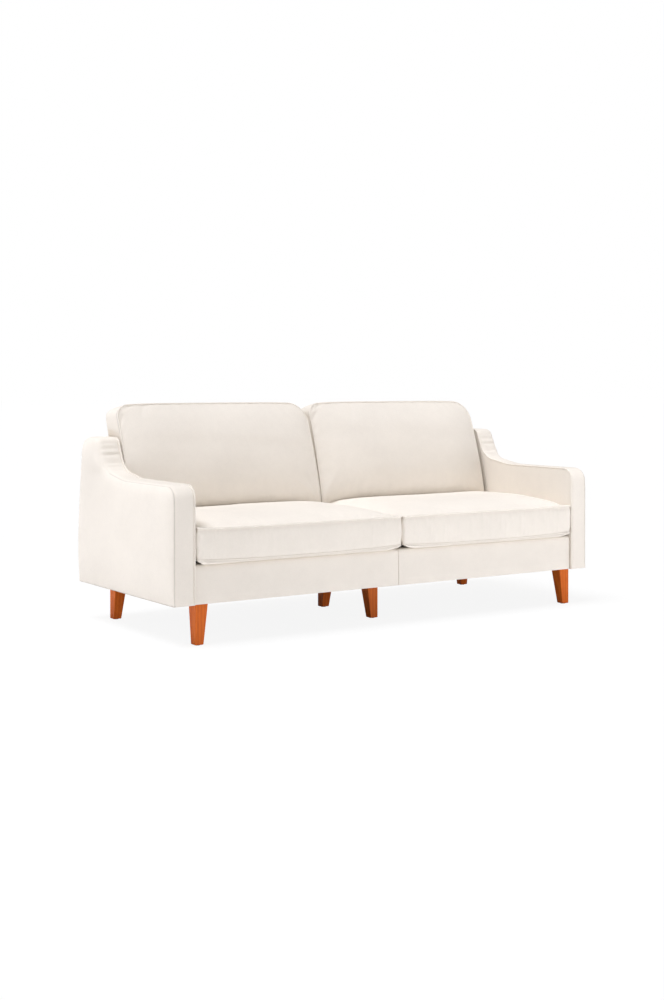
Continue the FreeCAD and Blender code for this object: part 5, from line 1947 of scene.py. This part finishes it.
    def shrunk(self, profile: Profile, ring: Array, drop: Array) -> Array:
        """A panel's grid, whose border lies inside the profile's by a drop.

        Args:
            profile: The arm's profile.
            ring: The border of its grid.
            drop: How far each border point moves in.

        Returns:
            The grid, shape (rows, columns, 2).
        """
        moved = ring - drop[:, None] * ring_normals(ring)
        columns, rows = len(profile.u), len(profile.v)
        low = moved[:columns]
        rear = moved[columns - 1 : columns + rows - 1]
        high = moved[columns + rows - 2 : 2 * columns + rows - 2][::-1]
        front = np.concatenate([moved[:1], moved[2 * columns + rows - 3 :][::-1]])
        return coons(low, high, front, rear, profile.u, profile.v)

    def outer_panel(self, grid: Array, gap: Array, place: Array) -> Array:
        """How far out the outer panel lies: its swelling, its seam's groove and its cloth's swell.

        Near the floor the swelling follows the distance from the other three edges.

        Args:
            grid: The panel's points as depth and height.
            gap: Distances from its seam.
            place: How far along the seam each point lies.

        Returns:
            The distance from the sofa's middle.
        """
        border = edge_of(grid)
        over_base = (grid[..., 1] - self.base) / self.swelling_reaches[1]
        base_rise = self.base_fullness + (1 - self.base_fullness) * unit(over_base)
        near_base = unit(1 - over_base)
        side_gap = nearest(grid, border[grid.shape[1] - 1 :])[0]
        rise = self.side_rise(gap) * (1 - near_base) + self.side_rise(side_gap) * base_rise * near_base
        crest = self.crest_share(grid)
        groove = bell(gap, self.seam_width) * (grid[..., 1] > self.base + 1 * MM) * (1 - crest)
        out = self.outer + self.swelling * rise - self.seam_depth * groove
        ahead = unit((self.front + self.scoop_swell_end - grid[..., 0]) / self.scoop_swell_fade)
        out += self.scoop_swell * ahead * crest
        seed = self.seeds[self.side is Side.RIGHT]
        out += self.puckers.beside(gap, place, seed)
        calm = unit(gap / self.waves.reach)
        return out + self.waves.height * calm * swell(grid[..., 0], grid[..., 1], self.waves.length, seed)

    def band_level(self, ring: Array, across: Array, drops: tuple[Array, Array]) -> Array:
        """How high each row of the band lies over the profile.

        Its crown is 1 - t squared. Its edges fall as t to the seventh, or the sixth at
        the crest, on the outside and to the ninth on the inside, with a groove at each.

        Args:
            ring: The profile's points.
            across: How far across each row lies, from 0 to 1.
            drops: How far the outer and the inner edge fall.

        Returns:
            The level, a row for each row of the band.
        """
        t = 1 - 2 * across
        proud = self.band_swell(ring, travelled(ring, closed=True)[:-1])
        crest = self.crest_share(ring)
        fall_out = unit(t)[:, None] ** (7 - crest) * drops[0]
        fall_in = unit(-t)[:, None] ** 9 * drops[1]
        level = proud * (1 - t**2)[:, None] - fall_out - fall_in
        width = self.outer - self.inner
        off_floor = self.off_base(ring, self.base_fade)
        beside_welt = across[:, None] * width - width + self.welt.radius + 0.6 * MM
        level -= self.welt_groove * bell(beside_welt, self.welt_groove_width) * off_floor
        seam = bell(across[:, None] * width, self.seam_width) * off_floor * (1 - crest)
        return level - self.seam_depth * seam

    def shell(self) -> BoxedShell:
        """The padded cover, for the right arm, mirrored for the left one.

        Returns:
            The shell, with its seams' distances.
        """
        profile = self.profile()
        ring = edge_of(profile.grid())
        drops = (self.outer_drop(ring), self.welt_set_back * self.off_base(ring, self.base_fade))
        outer_grid, inner_grid = (self.shrunk(profile, ring, drop) for drop in drops)
        gap, place, _ = nearest(outer_grid, edge_of(outer_grid))
        outer = self.outer_panel(outer_grid, gap, place)
        inner_gap = nearest(inner_grid, edge_of(inner_grid))[0]
        inner = self.inner + self.inner_gap + self.inner_edge * bell(inner_gap, self.inner_edge_width)
        face = np.concatenate([outer[..., None], outer_grid], axis=-1)
        back = np.concatenate([inner[..., None], inner_grid], axis=-1)
        first, last = edge_of(face), edge_of(back)
        across = gathered(self.band_rows + 2, self.band_gather)
        level = self.band_level(ring, across, drops)
        wall = np.empty((len(across), len(ring), 3))
        wall[..., 0] = first[:, 0] + across[:, None] * (last[:, 0] - first[:, 0])
        wall[..., 1:] = ring + level[..., None] * ring_normals(ring)
        width = self.outer - self.inner
        spans = wall_map(first, across * width)
        inside = across[1:-1, None]
        beside = np.minimum(inside * width + self.unseamed * self.crest_share(ring), (1 - inside) * width)
        gaps = (gap + self.unseamed * self.crest_share(outer_grid), beside, inner_gap)
        mirrored = self.side is Side.LEFT
        return BoxedShell(face, wall[1:-1], back, outer_grid, spans, inner_grid, mirrored, gaps)

    def seam_path(self, shell: BoxedShell) -> Array:
        """The inner welt's middle line: up the front and over the top to the crest.

        Args:
            shell: The arm's cover.

        Returns:
            The line's points, shape (n, 3).
        """
        top = shell.back[-1, 1 : shell.back.shape[1] - self.welt_stop + 1]
        path = np.concatenate([shell.back[1:, 0], top])
        path[:, 0] -= 0.2 * MM
        path[0, 2] = self.base + 1 * MM
        if shell.mirrored:
            path = path * MIRROR
        return path

    def build(self) -> None:
        """Makes and dresses the arm's cover and its inner welt."""
        name = f"arm_{self.side.value}"
        shell = self.shell()
        piece = shell.build(f"{name}_upholstery")
        smooth(piece)
        dress(piece, Slot.BODY_FABRIC, "sofa_body", f"{name}_cover")
        welt = self.welt.build(f"{name}_inner_welt", self.seam_path(shell), False, self.welt_seed)
        dress(welt, Slot.BODY_FABRIC, "sofa_body")


@dataclass
class BackFrame:
    """The padded back between the arms, with a crest and an upright rear."""

    columns: int = 110
    rows: int = 14
    band_rows: int = 60
    gathers: Triple = (0.5, 0.6, 0.85)
    front: float = -0.422
    base: float = 0.151
    half: float = 0.9297
    upper_part: float = 0.6
    rear_swelling: float = 5 * MM
    rear_fade: float = 0.08
    top_swelling: float = 2 * MM
    top_start: float = 0.70
    top_fade: float = 0.04
    end_reach: float = 0.12
    end_power: float = 2.4
    swell_height: float = 0.9 * MM
    swell_wave: float = 0.33
    seed: int = 91

    def profile(self) -> Profile:
        """The outline from the front's foot to the rear's, cut at its upper corners.

        Returns:
            The profile, cut.
        """
        chain = side_view(self.front, self.base, BACK_FOOT, BACK_PROFILE)
        high = chain[:, 1] > self.upper_part
        corners = (np.where(high, chain[:, 1] + way * chain[:, 0], -np.inf).argmax() for way in (-1, 1))
        u, v = gathered(self.rows, self.gathers[0]), gathered(self.columns, self.gathers[1])
        return Profile(chain, *map(int, corners), u, v)

    def build(self) -> None:
        """Makes and dresses the back's cover.

        Its rear and its top swell by 1 - (1 - d / reach) to the power 2.4 from each end.
        """
        grid = self.profile().grid()
        ring = edge_of(grid)
        normal = ring_normals(ring)
        across = gathered(self.band_rows + 2, self.gathers[2])
        x = self.half * (1 - 2 * across)
        rise = 1 - (1 - unit((self.half - np.abs(x)) / self.end_reach)) ** self.end_power
        rearward = unit(normal[:, 0]) ** 2 * unit((ring[:, 1] - self.base) / self.rear_fade)
        upper = unit((ring[:, 1] - self.top_start) / self.top_fade) * self.top_swelling
        proud = self.rear_swelling * rearward + upper
        along_x, up_z = np.meshgrid(x, ring[:, 1], indexing="ij")
        wave = self.swell_height * swell(along_x, up_z, self.swell_wave, self.seed) * rearward
        wall = np.empty((len(x), len(ring), 3))
        wall[..., 0] = x[:, None]
        wall[..., 1:] = ring + (rise[:, None] * (proud + wave))[..., None] * normal
        ends = (np.full(grid.shape[:2] + (1,), end) for end in (self.half, -self.half))
        face, back = (np.concatenate([end, grid], axis=-1) for end in ends)
        spans = wall_map(edge_of(face), across * 2 * self.half)
        piece = BoxedShell(face, wall[1:-1], back, grid, spans, grid).build("back_upholstery")
        smooth(piece)
        dress(piece, Slot.BODY_FABRIC, "sofa_body", "back_cover")


@dataclass
class FrontRail:
    """Half of the padded front rail: a face with a rounded top edge and a flap behind it."""

    side: Side
    columns: int = 96
    rows: int = 40
    gathers: Pair = (0.9, 0.5)
    seeds: tuple[int, int] = (101, 113)
    thickness: float = 4.4 * MM
    least_half: float = 0.35 * MM
    swelling: float = 3.0 * MM
    swelling_reach: float = 0.08
    swelling_power: float = 2.2
    swell_height: float = 0.5 * MM
    swell_wave: float = 0.16
    top_round: float = 0.012
    top_fade: float = 0.02
    top_margin: float = 4 * MM
    base_fade: float = 0.03
    end_round: float = 5 * MM
    skin: float = 0.1 * MM
    floor_gap: float = 0.2 * MM
    flap_gap: float = 1 * MM

    def sheet(self, low: Array, high: Array) -> Array:
        """The middle of the cloth in the plane of Y and Z, from the face's foot to the flap's end.

        Args:
            low: The rail's lowest corner.
            high: Its highest corner.

        Returns:
            The samples.
        """
        inset = self.thickness / 2
        face, top = low[1] + inset, high[2] - inset - self.skin
        chain = Outline((
            (face, low[2] + self.floor_gap, 0.0),
            (face, top, self.top_round),
            (high[1] - self.flap_gap, top, 0.0),
        )).trace(2 * MM)
        return stations(chain, gathered(self.rows, self.gathers[1]))

    def build(self) -> None:
        """Makes and dresses the cover.

        Its middle sheet follows the face, turns back over the top edge and ends at the
        flap; the cloth lies half its thickness either side, thinning to its edges as a
        quarter circle. The face swells by 1 - (1 - d / reach) to the power 2.2.
        """
        node = f"front_rail_cover_{self.side.value}"
        low, high = room(node)
        sheet = self.sheet(low, high)
        run = np.gradient(sheet, axis=0)
        run /= np.linalg.norm(run, axis=1, keepdims=True)
        out = np.stack([-run[:, 1], run[:, 0]], axis=1)
        x = low[0] + self.skin + gathered(self.columns, self.gathers[0]) * (high[0] - low[0] - 2 * self.skin)
        end = np.minimum(x - low[0], high[0] - x)
        shown = unit((high[2] - self.top_margin - sheet[:, 1]) / self.top_fade)
        shown = shown * unit((sheet[:, 1] - low[2]) / self.base_fade)
        x_grid, z_grid = np.meshgrid(x, sheet[:, 1])
        round_end = np.sqrt(1 - (1 - unit(end / self.end_round)) ** 2)
        rise = 1 - (1 - unit(end / self.swelling_reach)) ** self.swelling_power
        soft = self.swelling * shown[:, None] * rise[None]
        wave = swell(x_grid, z_grid, self.swell_wave, self.seeds[self.side is Side.RIGHT])
        soft = soft + self.swell_height * shown[:, None] * wave
        half = np.maximum(self.least_half, self.thickness / 2 * round_end)[None] * np.ones_like(soft)
        places = (half + soft * round_end[None], -half)
        panels = (sheet[:, None] + depth[..., None] * out[:, None] for depth in places)
        face, back = (np.concatenate([x_grid[..., None], panel], axis=-1) for panel in panels)
        flat = np.stack(np.meshgrid(x, travelled(sheet)), axis=-1)
        border = edge_of(face)
        spans = wall_map(border, np.array([0.0, self.thickness]))
        wall = np.empty((0, len(border), 3))
        name = f"front_rail_upholstery_{self.side.value}"
        piece = BoxedShell(face, wall, back, flat, spans, flat).build(name)
        smooth(piece)
        dress(piece, Slot.BODY_FABRIC, "sofa_body", node)


@dataclass
class TackedSheet:
    """A sheet of cloth tacked to a frame, which sags a little between the places that hold it."""

    node: str
    slot: Slot
    sag: float
    held_at: tuple[float, ...]
    rests_on: tuple[str, ...]
    columns: int = 120
    rows: int = 40

    def build(self) -> None:
        """Makes and dresses the sheet.

        In each bay it hangs as the product of two half sines, by the sag times the bay's
        share of the sheet's width.
        """
        low, high = room(self.node)
        width, length, thickness = high - low
        across = np.linspace(low[0], high[0], self.columns)
        x, y = np.meshgrid(across, np.linspace(low[1], high[1], self.rows))
        edges = np.array([low[0], *self.held_at, high[0] + MM])
        bay = np.searchsorted(edges, x, side="right") - 1
        span = edges[bay + 1] - edges[bay]
        hang = np.sin(np.pi * (x - edges[bay]) / span) * np.sin(np.pi * (y - low[1]) / length)
        z = (low[2] + high[2]) / 2 - self.sag * hang * span / width
        quads = grid_quads(*x.shape)
        flat = np.stack([x, y], axis=-1).reshape(-1, 2)
        points = np.stack([x, y, z], axis=-1).reshape(-1, 3)
        piece = make_object(f"{self.node}_sheet", points, quads, flat[quads])
        thick = piece.modifiers.new("thickness", "SOLIDIFY")
        thick.thickness = thickness
        thick.offset = 0.0
        dress(piece, self.slot, "sofa_body", self.node)


@dataclass(frozen=True)
class Softbox:
    """A rectangular soft lamp: its power in watts, its size, its place and where it shines."""

    power: float
    size: Pair
    place: Triple
    towards: Triple


@dataclass
class Studio:
    """A plain pale floor, soft light and the camera of the reference view."""

    camera_place: Triple = (-3.4038, -5.0450, 0.9627)
    camera_turn: float = -33.62
    camera_pitch: float = 0.293
    focal_pixels: float = 1424.99
    frame_pixels: float = 1000.0
    centre_pixel: float = 391.49
    floor_reach: float = 60.0
    floor_colour: Colour = (0.93, 0.93, 0.93, 1.0)
    floor_glow: float = 0.90
    floor_roughness: float = 0.9
    floor_shine: float = 0.1
    lamp_colour: Triple = (0.985, 1.0, 1.055)
    world_colour: Colour = (1.0, 0.94, 0.85, 1.0)
    world_strength: float = 0.22
    key_strength: float = 2.95
    key_angle: float = 30.0
    key_towards: Triple = (0.30, -0.05, -0.95)
    left_box: Softbox = Softbox(13.5, (2.2, 1.6), (-3.6, -0.3, 1.0), (1.0, 0.0, -0.08))
    front_box: Softbox = Softbox(52.0, (2.6, 0.9), (1.3, -3.9, 0.5), (-0.15, 1.0, 0.0))

    def add_camera(self) -> None:
        """Sets the camera: its lens and shift come from the fitted focal length."""
        camera = bpy.data.cameras.new("camera")
        camera.lens = camera.sensor_width * self.focal_pixels / self.frame_pixels
        camera.shift_y = (self.centre_pixel - self.frame_pixels / 2) / self.frame_pixels
        holder = bpy.data.objects.new("camera", camera)
        holder.location = self.camera_place
        holder.rotation_euler = (math.radians(90 - self.camera_pitch), 0.0, math.radians(self.camera_turn))
        bpy.context.scene.collection.objects.link(holder)
        bpy.context.scene.camera = holder

    def add_floor(self) -> None:
        """Lays a wide pale floor at height zero, which the camera sees nearly white."""
        far = self.floor_reach
        corners = [(-far, -far, 0), (far, -far, 0), (far, far, 0), (-far, far, 0)]
        mesh = bpy.data.meshes.new("floor")
        mesh.from_pydata(corners, [], [(0, 1, 2, 3)])
        floor = bpy.data.objects.new("floor", mesh)
        material = bpy.data.materials.new("pale_floor")
        material.use_nodes = True
        nodes = material.node_tree.nodes
        shader = nodes["Principled BSDF"]
        shader.inputs["Base Color"].default_value = self.floor_colour
        shader.inputs["Roughness"].default_value = self.floor_roughness
        shader.inputs["Specular IOR Level"].default_value = self.floor_shine
        bench = Bench(material.node_tree)
        glow = bench.add("ShaderNodeEmission")
        path = bench.add("ShaderNodeLightPath")
        blend = bench.add("ShaderNodeMixShader")
        bench.join(bench.sum("MULTIPLY", path.outputs["Is Camera Ray"], self.floor_glow), blend.inputs[0])
        bench.join(shader.outputs[0], blend.inputs[1])
        bench.join(glow.outputs[0], blend.inputs[2])
        bench.join(blend.outputs[0], nodes["Material Output"].inputs["Surface"])
        mesh.materials.append(material)
        bpy.context.scene.collection.objects.link(floor)

    def hang(self, lamp: bpy.types.Light, strength: float, towards: Triple) -> Piece:
        """Puts a lamp into the scene.

        Args:
            lamp: The lamp.
            strength: Its power or irradiance.
            towards: The direction in which it shines.

        Returns:
            The object that holds it.
        """
        lamp.energy = strength
        lamp.color = self.lamp_colour
        holder = bpy.data.objects.new(lamp.name, lamp)
        holder.rotation_euler = Vector(towards).to_track_quat("-Z", "Y").to_euler()
        bpy.context.scene.collection.objects.link(holder)
        return holder

    def add_key(self) -> None:
        """Adds the wide soft lamp over the sofa."""
        lamp = bpy.data.lights.new("key", "SUN")
        lamp.angle = math.radians(self.key_angle)
        self.hang(lamp, self.key_strength, self.key_towards)

    def add_softbox(self, name: str, box: Softbox) -> None:
        """Adds a rectangular soft lamp at its place.

        Args:
            name: The lamp's name.
            box: The lamp.
        """
        lamp = bpy.data.lights.new(name, "AREA")
        lamp.shape = "RECTANGLE"
        lamp.size, lamp.size_y = box.size
        self.hang(lamp, box.power, box.towards).location = box.place

    def add_world(self) -> None:
        """Surrounds the scene with even light that the camera sees as white."""
        world = bpy.data.worlds.new("world")
        bpy.context.scene.world = world
        world.use_nodes = True
        bench = Bench(world.node_tree)
        light = world.node_tree.nodes["Background"]
        path = bench.add("ShaderNodeLightPath")
        seen = bench.sum("MAXIMUM", path.outputs["Is Camera Ray"], path.outputs["Is Glossy Ray"])
        level = bench.sum("MULTIPLY_ADD", seen, 1.0 - self.world_strength, self.world_strength)
        bench.join(bench.mix(seen, self.world_colour, (1.0, 1.0, 1.0, 1.0)), light.inputs["Color"])
        bench.join(level, light.inputs["Strength"])

    def build(self) -> None:
        """Sets up the whole studio."""
        bpy.context.scene.view_settings.view_transform = "Standard"
        self.add_camera()
        self.add_floor()
        self.add_world()
        self.add_key()
        self.add_softbox("left_box", self.left_box)
        self.add_softbox("front_box", self.front_box)


def finish_nodes(frame: dict) -> None:
    """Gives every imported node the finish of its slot.
    """
    slots = {part["node"]: part["material_slot"] for part in frame["record"]["subparts"]}
    for name, node in frame["nodes"].items():
        material = FINISHES[slots[name]].material()
        node.data.materials.clear()
        node.data.materials.append(material)
    LOG.info("%d packed nodes finished", len(frame["nodes"]))


DECK = TackedSheet("seat_deck", Slot.FELT, 0.2 * MM, (), ("seat_springs_left", "seat_springs_right"))
DUST_CLOTH_RAILS = ("seat_front_rail", "seat_rear_rail", "seat_side_rail_left", "seat_side_rail_right")
DUST_COVER = TackedSheet("dust_cover", Slot.DUST_CLOTH, 6 * MM, (-0.050, 0.014), DUST_CLOTH_RAILS)
LEFT_SEAT_PLEATS = (-0.318, -0.253, -0.243, -0.210, -0.156, 0.11, 0.24, 0.262, 0.31)
RIGHT_SEAT_PLEATS = (-0.30, -0.262, -0.19, -0.13, -0.02, 0.015, 0.07, 0.19, 0.215)
LEFT_SEAT_FOLDS = (
    Fold((-0.462, -0.418), (-0.372, -0.392), 9 * MM, -2.6 * MM),
    Fold((-0.455, -0.395), (-0.365, -0.365), 12 * MM, 1.6 * MM),
    Fold((-0.46, 0.10), (0.02, 0.10), 80 * MM, -5 * MM),
)
LEFT_BACK_FOLDS = (
    Fold((0.452, 0.012), (0.30, 0.11), 9 * MM, 3.6 * MM),
    Fold((0.456, 0.030), (0.36, 0.16), 8 * MM, 3.0 * MM),
    Fold((-0.450, 0.02), (-0.33, 0.10), 9 * MM, 2.0 * MM),
)
RIGHT_BACK_FOLDS = (
    Fold((0.452, 0.016), (0.33, 0.10), 9 * MM, 2.6 * MM),
    Fold((-0.452, 0.02), (-0.36, 0.13), 9 * MM, 3.0 * MM),
)


def main() -> None:
    """Builds the studio, then the sofa's covers and cushions in order."""
    logging.basicConfig(level=logging.INFO, format="%(name)s: %(message)s")
    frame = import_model()
    finish_nodes(frame)
    Studio().build()
    for side in Side:
        ScoopedArm(side).build()
        FrontRail(side).build()
    DECK.build()
    DUST_COVER.build()
    SeatCushion(
        Side.LEFT,
        end_lifts=(5 * MM, 12 * MM),
        end_rises=(6 * MM, 0.0),
        pleats=LEFT_SEAT_PLEATS,
        folds=LEFT_SEAT_FOLDS,
    ).build()
    SeatCushion(Side.RIGHT, end_rises=(0.0, -3 * MM), pleats=RIGHT_SEAT_PLEATS).build()
    BackFrame().build()
    BackCushion(Side.LEFT, inner_gap=3 * MM, inner_taper=10 * MM, folds=LEFT_BACK_FOLDS).build()
    BackCushion(
        Side.RIGHT,
        arm_gap=14 * MM,
        arm_taper=7 * MM,
        inner_fall=14 * MM,
        folds=RIGHT_BACK_FOLDS,
    ).build()


if __name__ == "__main__":
    main()
